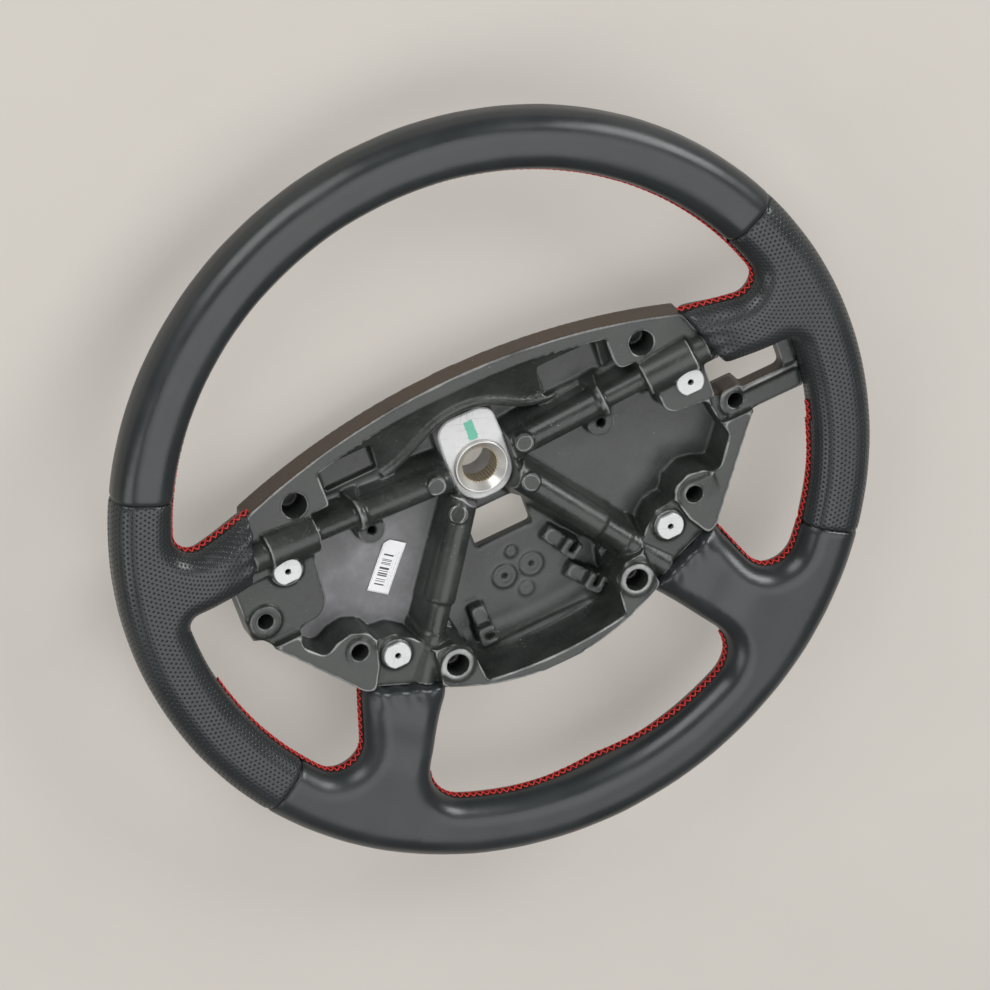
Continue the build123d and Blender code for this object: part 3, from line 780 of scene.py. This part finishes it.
@dataclass
class WheelPlan:
    """Front-view sizes of the rim, spokes and openings, as in the solids."""

    centre: Place = (0.0, -5.0, 42.0)
    inner_r: float = 160.4
    mid_r: float = 175.2
    roll_r: float = 11.3
    upper_seam: float = 25.0
    lower_seam: float = -33.0
    upper_dish: float = 6.0
    lower_dish: float = 7.0
    dish_hub: float = 109.0
    dish_rim: float = 149.0
    upper_spoke_y: Span = (-5.0, 60.0)
    lower_spoke_y: float = -40.0
    lower_angle: float = -48.5
    upper_bar: tuple[Place, Place] = ((14.0, 8.0, -15.0), (171.0, 23.0, 0.0))
    lower_bar: tuple[Place, Place] = ((9.0, 3.0, -13.5), (105.5, -139.6, 0.0))
    end_low_x: float = 128.0
    end_slope: float = 3.0
    upper_edge: Span = (143.0, 37.5)
    upper_edge_slope: float = 0.1125
    upper_edge_x: float = 113.5
    upper_corner: float = 10.0
    lower_out: Span = (94.3, -68.9)
    lower_out_way: Span = (1.0, 0.381)
    lower_out_corner: float = 14.0
    lower_out_from: float = -10.6
    lower_in: Span = (53.7, -86.4)
    lower_in_way: Span = (-1.0, -0.713)
    lower_in_corner: float = 18.0
    lower_in_y: float = -124.0

    def sink(self, x: Array, y: Array) -> Array:
        """Depth of the spokes' middle below the rim plane: a smooth rise along each spoke.

        Args:
            x: Places across the wheel.
            y: Places up the wheel.

        Returns:
            The depth at each place.
        """
        span = self.dish_rim - self.dish_hub
        low, high = self.upper_spoke_y
        upper = self.upper_dish * ramp((self.dish_rim - np.abs(x)) / span) * ((y > low) & (y < high))
        a = np.radians(self.lower_angle)
        along = np.abs(x) * np.cos(a) + y * np.sin(a)
        lower = self.lower_dish * ramp((self.dish_rim - along) / span) * (y < self.lower_spoke_y)
        return upper + lower

    def past_end(self, points: Array) -> tuple[Array, Array]:
        """Distance past the leather's end towards the hub.

        Args:
            points: Points about the rim centre.

        Returns:
            The distances for the upper spokes and for the lower ones.
        """
        x, y = np.abs(points[:, 0]), points[:, 1]
        upper = (self.end_low_x - y / self.end_slope - x) / np.hypot(1.0, 1.0 / self.end_slope)
        run = np.subtract(self.lower_in, self.lower_out)
        normal = np.array([run[1], -run[0]]) / np.hypot(*run)
        lower = (x - self.lower_out[0]) * normal[0] + (y - self.lower_out[1]) * normal[1]
        return upper, lower

    def by_bars(self, points: Array) -> Iterator[tuple[Array, Array]]:
        """For each bar, distances of points from its axis and past the leather's end.

        Args:
            points: Points about the rim centre.

        Yields:
            The two distances.
        """
        for bar, past in zip((self.upper_bar, self.lower_bar), self.past_end(points)):
            for hand in (-1.0, 1.0):
                start, stop = np.array(bar) * (hand, 1.0, 1.0)
                way = (stop - start) / np.linalg.norm(stop - start)
                offset = points - start
                yield np.linalg.norm(offset - np.outer(offset @ way, way), axis=1), past

    def corner(self, point: Sequence[float], inward: Sequence[float], radius: float, side: float) -> tuple:
        """Rounded corner between a straight edge and the rim's inner circle.

        The centre is one radius in from both, so it is at the circle's radius less the corner's from the
        rim centre, and one radius from the edge.

        Args:
            point: A point of the edge.
            inward: Direction from the edge into the opening.
            radius: Radius of the corner.
            side: 1 or -1, which of the two corners along the edge.

        Returns:
            The corner's centre, its start on the edge and its end on the circle.
        """
        n = np.asarray(inward) / np.hypot(*inward)
        t = np.array([-n[1], n[0]])
        lift = radius + float(n @ np.asarray(point))
        slide = side * np.sqrt((self.inner_r - radius) ** 2 - lift ** 2)
        centre = n * lift + t * slide
        return centre, centre - n * radius, centre * self.inner_r / np.hypot(*centre)

    @staticmethod
    def arc(centre: Array, start: Array, stop: Array, count: int = 24) -> Array:
        """Points of the shorter arc round a centre.

        Args:
            centre: Centre of the arc.
            start: Its first point.
            stop: A point in the direction of its end.
            count: Number of points.

        Returns:
            The points in order.
        """
        a = np.arctan2(start[1] - centre[1], start[0] - centre[0])
        b = np.arctan2(stop[1] - centre[1], stop[0] - centre[0])
        turn = (b - a + np.pi) % TURN - np.pi
        angle = a + turn * np.linspace(0, 1, count)
        radius = np.hypot(*(np.asarray(start) - centre))
        return np.stack([centre[0] + radius * np.cos(angle), centre[1] + radius * np.sin(angle)], 1)

    def stitched_runs(self) -> dict[str, Array]:
        """Front-view lines of the laced edges, each in order along the edge."""
        middle, mirror = np.zeros(2), (-1.0, 1.0)
        long_run, short_run = 160, 90
        x, y = self.upper_edge
        slope = self.upper_edge_slope
        c, on_edge, on_rim = self.corner(self.upper_edge, (slope, 1.0), self.upper_corner, -1.0)
        first = (self.upper_edge_x, y + (x - self.upper_edge_x) * slope)
        rim = self.arc(middle, on_rim, np.array([0.0, self.inner_r]), long_run)
        half = np.vstack([[first], self.arc(c, on_edge, on_rim), rim[1:]])
        runs = {"upper": np.vstack([half, (half[::-1] * mirror)[1:]])}
        c, on_edge, on_rim = self.corner(self.lower_out, self.lower_out_way, self.lower_out_corner, -1.0)
        a = np.radians(self.lower_out_from)
        rim = self.arc(middle, self.inner_r * np.array([np.cos(a), np.sin(a)]), on_rim, short_run)
        runs["right"] = np.vstack([rim, self.arc(c, on_rim, on_edge)[1:], [self.lower_out]])
        runs["left"] = runs["right"] * mirror
        c, on_edge, on_rim = self.corner(self.lower_in, self.lower_in_way, self.lower_in_corner, 1.0)
        rim = self.arc(middle, on_rim, np.array([0.0, -self.inner_r]), short_run)
        half = np.vstack([self.arc(c, on_edge, on_rim), rim[1:]])
        half = half[half[:, 1] < self.lower_in_y]
        runs["lower"] = np.vstack([half, (half[::-1] * mirror)[1:]])
        return runs


@dataclass
class LeatherCover:
    """The four leather panels, pulled over the rim and the spokes."""

    plan: WheelPlan
    voxel: float = 1.1
    smoothing: int = 9
    end_smoothing: int = 14
    end_soft: float = 9.0
    bar_clear: float = 8.0
    bar_past: float = 0.7
    bar_zone: float = 150.0
    spoke_zone: float = 152.0
    seam_zone: float = 140.0
    lower_spokes_y: float = -20.0
    seam_depth: float = 0.7
    seam_width: float = 1.3
    flat_from: float = 135.0
    flat_over: float = 30.0
    slack: float = 0.05
    pucker: float = 0.45
    pucker_pitch: float = 7.5
    pucker_reach: float = 12.0

    def without_bars(self, points: Array, faces: Array) -> Array:
        """Faces left when the bars that stick out past the leather's ends are taken away.

        Args:
            points: Points of the skin.
            faces: Its quads.

        Returns:
            The quads that stay.
        """
        middle = points[faces].mean(1)
        near = np.any([
            (away < self.bar_clear) & (past > self.bar_past) for away, past in self.plan.by_bars(middle)], axis=0)
        return faces[~(near & (np.hypot(middle[:, 0], middle[:, 1]) < self.bar_zone))]

    def seam_distance(self, points: Array) -> tuple[Array, Array]:
        """Distance along the rim to the nearest seam.

        Args:
            points: Points about the rim centre.

        Returns:
            The distances, and the seams' angles.
        """
        angle = np.arctan2(points[:, 1], points[:, 0])
        radius = np.hypot(points[:, 0], points[:, 1])
        upper, lower = self.plan.upper_seam, self.plan.lower_seam
        seams = np.radians([upper, 180 - upper, lower, 180 - lower])
        turn = np.abs((angle[:, None] - seams[None, :] + np.pi) % TURN - np.pi)
        nearest = turn.argmin(1)
        return turn[np.arange(len(angle)), nearest] * radius, seams[nearest]

    def panel_of(self, middle: Array) -> Array:
        """Number of the panel that each face belongs to, by its angle about the rim centre.

        Args:
            middle: Middles of the faces.

        Returns:
            The panels' numbers, in the order of Panel.
        """
        angle = np.degrees(np.arctan2(middle[:, 1], middle[:, 0]))
        left = middle[:, 0] < 0
        seam = self.plan.lower_seam
        low = (middle[:, 1] < 0) & np.where(left, angle > -180 - seam, angle < seam)
        high = (angle > self.plan.upper_seam) & (angle < 180 - self.plan.upper_seam)
        return np.select([high, low, left], [0, 2, 1], 3)

    def flat_map(self, points: Array, normals: Array) -> Array:
        """Flat pattern of the hide, in millimetres.

        The front view is taken as flat, and each point is pushed out along its sideways direction by the
        rolled edge's arc less its chord: roll radius times (slope angle less its sine).

        Args:
            points: Points of the hide.
            normals: Their unit normals.

        Returns:
            Two numbers for each point.
        """
        x, y = np.abs(points[:, 0]), points[:, 1]
        radius = np.hypot(x, y)
        angle = np.arctan2(y, x)
        rim = ramp((radius - self.flat_from) / self.flat_over)
        u = rim * self.plan.mid_r * angle + (1 - rim) * y
        v = rim * radius + (1 - rim) * x
        slope = np.arccos(np.clip(normals[:, 2], -1, 1))
        extra = self.plan.roll_r * (slope - np.sin(slope))
        nx = normals[:, 0] * np.where(points[:, 0] < 0, -1, 1)
        ny = normals[:, 1]
        flat = np.maximum(np.hypot(nx, ny), 1e-6)
        around = (ny * np.cos(angle) - nx * np.sin(angle)) / flat
        outward = (nx * np.cos(angle) + ny * np.sin(angle)) / flat
        u += extra * (rim * around + (1 - rim) * ny / flat)
        v += extra * (rim * outward + (1 - rim) * nx / flat)
        return np.stack([u, v], 1)

    def slackness(self, points: Array) -> Array:
        """Height of the hide's slow waves: two crossed sines and a leaning one."""
        x, y, z = points.T
        return self.slack * (np.sin(x * 0.21 + 1.3) * np.sin(y * 0.19) + np.sin(z * 0.3 + x * 0.11))

    def puckers(self, points: Array, end: Array) -> Array:
        """Height of the gathers at the spokes' ends.

        Two uneven waves run across the spoke and die away from the end towards the rim.

        Args:
            points: Points about the rim centre.
            end: Distance past the leather's end, negative on the leather.

        Returns:
            The height at each point.
        """
        x, y, z = points.T
        across = np.where(y > self.lower_spokes_y, y, np.abs(x) * 0.8)
        turn = TURN * across / self.pucker_pitch + np.sign(x)
        waves = np.sin(turn) + 0.6 * np.sin(0.43 * turn + 1.1) + 0.12 * np.sin(z)
        return self.pucker * waves * ramp(1.0 + end / self.pucker_reach)

    def at_seams(self, points: Array, faces: Array, panel: Array) -> Array:
        """Moves the points between two panels round the rim, onto the seam.

        Args:
            points: Points of the skin.
            faces: Its quads.
            panel: Number of each quad's panel.

        Returns:
            The points with straight seams.
        """
        low = np.full(len(points), len(Panel))
        high = np.full(len(points), -1)
        for k in range(4):
            np.minimum.at(low, faces[:, k], panel)
            np.maximum.at(high, faces[:, k], panel)
        radius = np.hypot(points[:, 0], points[:, 1])
        seam = self.seam_distance(points)[1]
        between = (low != high) & (radius > self.seam_zone)
        points = points.copy()
        points[between, 0] = (radius * np.cos(seam))[between]
        points[between, 1] = (radius * np.sin(seam))[between]
        return points

    def build(self, nodes: dict[str, bpy.types.Object],
              hides: dict[Hide, bpy.types.Material]) -> list[bpy.types.Object]:
        """Builds and dresses the four panels.

        Args:
            nodes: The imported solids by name.
            hides: The leather materials.

        Returns:
            The panels.
        """
        points, faces = even_skin(nodes, ("leather_", "rim_", "bar_"), self.voxel, self.plan.centre)
        used, faces = renumber(self.without_bars(points, faces))
        edges = edges_of(faces)
        points = relax(points[used], edges, [SOFTEN, RESTORE] * self.smoothing)
        spoke = np.hypot(points[:, 0], points[:, 1]) < self.spoke_zone
        end = np.where(points[:, 1] > self.lower_spokes_y, *self.plan.past_end(points))
        soft_end = np.where(spoke, ramp((end + self.end_soft) / self.end_soft), 0.0)
        points = relax(points, edges, [SOFTEN] * self.end_smoothing, soft_end)
        panel = self.panel_of(points[faces].mean(1))
        points = self.at_seams(points, faces, panel)
        normal = point_normals(points, faces)
        pattern = self.flat_map(points, normal)
        on_rim = np.hypot(points[:, 0], points[:, 1]) > self.seam_zone
        away = np.where(on_rim, self.seam_distance(points)[0], 99.0)
        lift = self.slackness(points) - self.seam_depth * np.exp(-((away / self.seam_width) ** 2))
        lift += np.where(spoke, self.puckers(points, end), 0.0)
        points = points + normal * lift[:, None]
        made = []
        for number, kind in enumerate(Panel):
            keep, local = renumber(faces[panel == number])
            name = "cover_" + kind.name.lower()
            piece = mesh_object(name, points[keep], local, self.plan.centre, ("hide_mm", pattern[keep]))
            point_values(piece, "seam_mm", away[keep])
            hand_in(piece, hides[kind.hide], "leather_" + kind.hide.value, *kind.value)
            made.append(piece)
        return made


@dataclass
class TubSkin:
    """Moulded skin over the tub and the bars in it, with rounded edges."""

    plan: WheelPlan
    voxel: float = 0.66
    cuts: tuple[float, ...] = (-72.0, -36.0, 0.0, 36.0, 72.0)
    strips: tuple[str, ...] = ("far_left", "left", "inner_left", "inner_right", "right", "far_right")
    smoothing: int = 6
    rounding: int = 6
    spread: int = 22
    bar_clear: float = 6.2
    bar_cover: float = -4.0
    disc_r: float = 4.3
    disc_proud: float = 0.7
    disc_edge: float = 0.8
    disc_near: float = 2.0
    disc_depth: float = 3.0
    discs: tuple[Span, ...] = ((-25.0, 9.9), (-20.1, -8.1), (22.1, 10.7), (17.9, -9.0))

    def shown(self, points: Array, faces: Array) -> Array:
        """Faces left when the bars inside the leather are taken away.

        Args:
            points: Points of the skin.
            faces: Its quads.

        Returns:
            The quads that stay.
        """
        bars = self.plan.by_bars(points[faces].mean(1))
        inside = np.any([(away < self.bar_clear) & (past < self.bar_cover) for away, past in bars], axis=0)
        return faces[~inside]

    def with_discs(self, points: Array, normal: Array) -> Array:
        """Raises a flat round disc on each sleeve beside the hub.

        A disc's axis is the mean normal of the skin near its place. Points within its radius go along
        the axis to one height above the skin, and the move dies away over the disc's edge.

        Args:
            points: Points of the skin.
            normal: Their unit normals.

        Returns:
            The points with the discs raised.
        """
        for place in self.discs:
            near = (np.hypot(*(points[:, :2] - place).T) < self.disc_near) & (normal[:, 2] > 0.3)
            near &= points[:, 2] > points[near, 2].max() - self.disc_depth
            axis = normal[near].mean(0)
            axis /= np.linalg.norm(axis)
            offset = points - points[near].mean(0)
            height = offset @ axis
            away = np.linalg.norm(offset - np.outer(height, axis), axis=1)
            share = 1.0 - ramp((away - self.disc_r) / self.disc_edge)
            share *= (np.abs(height) < self.disc_r) & (normal @ axis > 0.2)
            points = points + np.outer((self.disc_proud - height) * share, axis)
        return points

    def build(self, nodes: dict[str, bpy.types.Object], skin: bpy.types.Material) -> list[bpy.types.Object]:
        """Builds the skin in strips from left to right.

        Each point keeps how far it stands out from a much smoother copy of the skin: positive on edges,
        negative in creases.

        Args:
            nodes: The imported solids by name.
            skin: Material of the skin.

        Returns:
            The pieces.
        """
        points, faces = even_skin(nodes, ("hub_tub", "bar_"), self.voxel, self.plan.centre)
        used, faces = renumber(self.shown(points, faces))
        edges = edges_of(faces)
        points = relax(points[used], edges, [SOFTEN, RESTORE] * self.smoothing + [SOFTEN] * self.rounding)
        points = self.with_discs(points, point_normals(points, faces))
        normal = point_normals(points, faces)
        bend = ((points - relax(points, edges, [SOFTEN] * self.spread)) * normal).sum(1)
        strip = np.digitize(points[faces].mean(1)[:, 0], self.cuts)
        made = []
        for number, name in enumerate(self.strips):
            keep, local = renumber(faces[strip == number])
            piece = mesh_object("tub_" + name, points[keep], local, self.plan.centre)
            point_values(piece, "edge_mm", bend[keep])
            piece.data.normals_split_custom_set_from_vertices(normal[keep].tolist())
            hand = name.split("_")[-1]
            hand_in(piece, skin, "moulding", "hub_tub", "bar_upper_" + hand, "bar_lower_" + hand)
            made.append(piece)
        return made


@dataclass
class LacedEdge:
    """Red thread laced along the inner edge of each opening, over a dark fold of hide."""

    plan: WheelPlan
    spacing: float = 0.7
    pitch: float = 6.8
    half_height: float = 2.3
    thread_r: float = 0.4
    thread_sides: int = 6
    sharpness: float = 0.96
    stand_off: float = 0.45
    bow: float = 0.28
    dip: float = 0.5
    dip_from: float = 0.86
    fold_half: float = 2.9
    fold_crown: float = 0.12
    fold_off: float = 0.02
    fold_columns: int = 7
    side_opening: Span = (132.0, -60.0)

    def frame_along(self, name: str, run: Array) -> tuple[Array, Array, Array]:
        """Even points along a run, the way into the opening at each, and the length so far.

        Args:
            name: Name of the opening.
            run: Front-view points in order.

        Returns:
            Points with their height, directions into the opening, and lengths.
        """
        length = np.concatenate([[0.0], np.cumsum(np.hypot(*np.diff(run, axis=0).T))])
        at = np.linspace(0.0, length[-1], max(int(length[-1] / self.spacing), 2))
        line = np.stack([np.interp(at, length, run[:, k]) for k in range(2)], 1)
        along = np.gradient(line, axis=0)
        along /= np.hypot(*along.T)[:, None]
        inward = np.stack([-along[:, 1], along[:, 0]], 1)
        half = len(line) // 2
        opening = np.zeros(2)
        if name in ("left", "right"):
            opening = np.array(self.side_opening) * (np.sign(line[0, 0]), 1.0)
        if inward[half] @ (opening - line[half]) < 0:
            inward = -inward
        return np.column_stack([line, -self.plan.sink(line[:, 0], line[:, 1])]), inward, at

    def thread(self, line: Array, inward: Array, at: Array, phase: float) -> tuple[Array, Array, Array]:
        """Tube that swings between the two lips of the seam.

        Its height is a rounded triangle wave along the run. It stands furthest off half way across, and
        dips into the hide at both lips.

        Args:
            line: Points along the run.
            inward: Directions into the opening.
            at: Length along the run.
            phase: Share of a pitch by which the wave is shifted.

        Returns:
            Points, quads and the run's UV.
        """
        turn = TURN * (at / self.pitch + phase)
        swing = np.arcsin(self.sharpness * np.sin(turn)) / np.arcsin(self.sharpness)
        dip = self.dip * ramp((np.abs(swing) - self.dip_from) / (1 - self.dip_from))
        path = line.copy()
        path[:, :2] += inward * (self.stand_off + self.bow * (1 - swing ** 2) - dip)[:, None]
        path[:, 2] += self.half_height * swing
        way = np.gradient(path, axis=0)
        way /= np.linalg.norm(way, axis=1, keepdims=True)
        side = np.cross(way, np.column_stack([inward, np.zeros(len(inward))]))
        side /= np.linalg.norm(side, axis=1, keepdims=True)
        out = np.cross(side, way)
        angle = np.linspace(0, TURN, self.thread_sides, endpoint=False)[None, :, None]
        points = path[:, None, :] + self.thread_r * (out[:, None] * np.cos(angle) + side[:, None] * np.sin(angle))
        uv = np.stack(np.broadcast_arrays(at[:, None], angle[:, :, 0] / TURN), -1)
        return points.reshape(-1, 3), grid_faces(len(path), self.thread_sides, True), uv.reshape(-1, 2)

    def fold(self, line: Array, inward: Array, at: Array) -> tuple[Array, Array, Array]:
        """Narrow strip on the wall under the thread, crowned by one less the fourth power across it.

        Args:
            line: Points along the run.
            inward: Directions into the opening.
            at: Length along the run.

        Returns:
            Points, quads and the run's UV.
        """
        across = np.linspace(-1, 1, self.fold_columns)
        off = self.fold_crown * (1 - across ** 4) + self.fold_off
        points = np.repeat(line[:, None, :], self.fold_columns, axis=1)
        points[:, :, :2] += inward[:, None, :] * off[None, :, None]
        points[:, :, 2] += self.fold_half * across[None, :]
        uv = np.stack(np.broadcast_arrays(at[:, None], across[None, :]), -1)
        return points.reshape(-1, 3), grid_faces(len(line), self.fold_columns, False), uv.reshape(-1, 2)

    def build(self, red: bpy.types.Material, dark: bpy.types.Material) -> list[bpy.types.Object]:
        """Builds the two crossing threads and the fold of each opening.

        Args:
            red: Material of the thread.
            dark: Material of the fold.

        Returns:
            The new pieces.
        """
        made = []
        for name, run in self.plan.stitched_runs().items():
            frame = self.frame_along(name, run)
            first, second = (self.thread(*frame, phase) for phase in (0.0, 0.5))
            faces = np.vstack([first[1], second[1] + len(first[0])])
            uv = ("run_mm", np.vstack([first[2], second[2]]))
            lace = mesh_object("lace_" + name, np.vstack([first[0], second[0]]), faces, self.plan.centre, uv)
            hand_in(lace, red, "thread", "stitch_" + name)
            points, faces, uv = self.fold(*frame)
            strip = mesh_object("fold_" + name, points, faces, self.plan.centre, ("run_mm", uv))
            hand_in(strip, dark, "leather_smooth")
            made += [lace, strip]
        return made


@dataclass
class PaperLabel:
    """Label stuck on the tub's floor, one corner clipped and one end a little lifted."""

    plan: WheelPlan
    width: float = 11.2
    length: float = 27.5
    thickness: float = 0.12
    at: Span = (-59.6, -24.0)
    turn: float = -38.6
    floor: float = -19.0
    rise: float = 0.32
    lift: float = 0.7
    clip: float = 2.6
    grid: tuple[int, int] = (15, 29)

    def build(self, paper: bpy.types.Material) -> bpy.types.Object:
        """Builds the sheet: a grid whose far end rises with the cube of the distance along it.

        Args:
            paper: Material of the label.

        Returns:
            The piece.
        """
        u, v = np.meshgrid(*(np.linspace(0, 1, count) for count in self.grid), indexing="ij")
        past = (1 - u) * self.width + v * self.length - (self.width + self.length - self.clip)
        past = np.maximum(0.0, past)
        x = u * self.width + past * 0.5
        y = v * self.length - past * 0.5
        height = self.rise + self.lift * v ** 3 * (0.4 + 0.6 * u)
        a = np.radians(self.turn)
        cx, cy = x - self.width / 2, y - self.length / 2
        points = np.stack([
            self.at[0] + cx * np.cos(a) - cy * np.sin(a),
            self.at[1] + cx * np.sin(a) + cy * np.cos(a),
            self.floor + height], -1).reshape(-1, 3)
        uv = np.stack([x, y], -1).reshape(-1, 2)
        faces = grid_faces(*self.grid, False)[:, ::-1]
        sheet = mesh_object("label_sheet", points, faces, self.plan.centre, ("sheet_mm", uv))
        wall = sheet.modifiers.new("paper", "SOLIDIFY")
        wall.thickness = self.thickness * MM
        wall.offset = -1.0
        hand_in(sheet, paper, "label_paper", "label")
        return sheet


@dataclass
class HubFinishes:
    """Finishes of the solids that show as they are."""

    shared: SharedGroups
    metals: tuple[tuple[str, MetalFinish], ...] = (
        ("hub_boss", MetalFinish("cast_plate", (0.66, 0.66, 0.665), metallic=0.3, roughness=0.5, score=0.45,
                                 edge=0.7, dab=(-0.6, 3.6, 14.5, 24.5))),
        ("spline_bush", MetalFinish("splined_bush", (0.66, 0.65, 0.62), metallic=0.5, roughness=0.36,
                                    score=0.3, bore_r=9.5)),
        ("pad_", MetalFinish("bright_pad", (0.62, 0.63, 0.63), metallic=0.4, roughness=0.4, score=0.25)),
        ("rim_ring", MetalFinish("plain_ring", (0.5, 0.5, 0.5), metallic=1.0, roughness=0.4, score=0.2)))

    def dress(self, nodes: dict[str, bpy.types.Object]) -> None:
        """Gives each solid the metal that its name starts with.

        Args:
            nodes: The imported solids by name.
        """
        for start, metal in self.metals:
            material = metal.material(self.shared)
            for name, node in nodes.items():
                if name.startswith(start):
                    node.data.materials.clear()
                    node.data.materials.append(material)
                    LOG.info("dressed %s with %s", name, material.name)


# Studio


@dataclass
class Viewpoint:
    """Camera where the photograph was taken from."""

    place: Place = (-0.47320, 1.42133, 2.73848)
    right: Place = (0.8939, -0.3118, 0.3219)
    up: Place = (0.4213, 0.8296, -0.3664)
    back: Place = (-0.1527, 0.4631, 0.8730)
    lens: float = 236.36
    sensor: float = 36.0
    clip: Span = (0.05, 60.0)

    def build(self) -> None:
        """Makes the camera and gives it to the scene."""
        data = bpy.data.cameras.new("camera")
        data.sensor_width = self.sensor
        data.lens = self.lens
        data.clip_start, data.clip_end = self.clip
        camera = bpy.data.objects.new("camera", data)
        turn = Matrix((self.right, self.up, self.back)).transposed().to_4x4()
        camera.matrix_world = Matrix.Translation(self.place) @ turn
        bpy.context.scene.collection.objects.link(camera)
        bpy.context.scene.camera = camera


@dataclass(frozen=True)
class Lamp:
    """Square lamp that faces the wheel; its size and place are in metres."""

    name: str
    watts: float
    size: float
    place: Place

    def build(self) -> None:
        """Adds the lamp to the scene."""
        data = bpy.data.lights.new(self.name, "AREA")
        data.energy = self.watts
        data.size = self.size
        made = bpy.data.objects.new(self.name, data)
        made.location = self.place
        made.rotation_euler = made.location.to_track_quat("Z", "Y").to_euler()
        bpy.context.scene.collection.objects.link(made)


@dataclass
class Studio:
    """Pale floor, a wide soft box overhead, lamps at its top and its right, a weak fill and an even sky."""

    lamps: tuple[Lamp, ...] = (
        Lamp("box", 46.0, 2.6, (0.3, -0.6, 2.9)),
        Lamp("key", 35.0, 1.6, (-0.7, 2.2, 1.4)),
        Lamp("side", 42.0, 1.2, (2.3, 0.8, 1.5)),
        Lamp("fill", 13.0, 1.2, (-2.0, -0.2, 1.5)))
    sky: float = 0.12
    sky_colour: Colour = (1.0, 0.99, 0.97)
    floor_half: float = 6000.0
    floor_drop: float = 0.3

    def build(self, floor: bpy.types.Material) -> None:
        """Makes the floor, the lamps and the sky.

        Args:
            floor: Material of the floor.
        """
        corner = self.floor_half * np.array([[-1, -1, 0], [1, -1, 0], [1, 1, 0], [-1, 1, 0]])
        ground = mesh_object("floor", corner, np.array([[0, 1, 2, 3]]), (0.0, 0.0, -self.floor_drop))
        ground.data.materials.append(floor)
        for lamp in self.lamps:
            lamp.build()
        world = bpy.data.worlds.new("sky")
        world.use_nodes = True
        background = world.node_tree.nodes["Background"]
        background.inputs[0].default_value = (*self.sky_colour, 1.0)
        background.inputs[1].default_value = self.sky
        bpy.context.scene.world = world
        bpy.context.scene.view_settings.view_transform = "Standard"


def main() -> None:
    """Builds the wheel's visual model in order, and reports each piece."""
    logging.basicConfig(level=logging.INFO, format="%(name)s: %(message)s")
    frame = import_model()
    nodes = frame["nodes"]
    shared = SharedGroups()
    plan = WheelPlan()
    Viewpoint().build()
    Studio().build(FloorFinish().material())
    hides = {hide: LeatherFinish(hide).material(shared) for hide in Hide}
    pieces = LeatherCover(plan).build(nodes, hides)
    pieces += TubSkin(plan).build(nodes, MouldedFinish().material(shared))
    red = ThreadFinish("red_thread", (0.58, 0.026, 0.02)).material(shared)
    dark = ThreadFinish("dark_fold", (0.02, 0.012, 0.01), roughness=0.7, twist=3.0).material(shared)
    pieces += LacedEdge(plan).build(red, dark)
    pieces.append(PaperLabel(plan).build(PaperFinish().material(shared)))
    HubFinishes(shared).dress(nodes)
    for piece in pieces:
        LOG.info("built %s with %d faces", piece.name, len(piece.data.polygons))


if __name__ == "__main__":
    main()
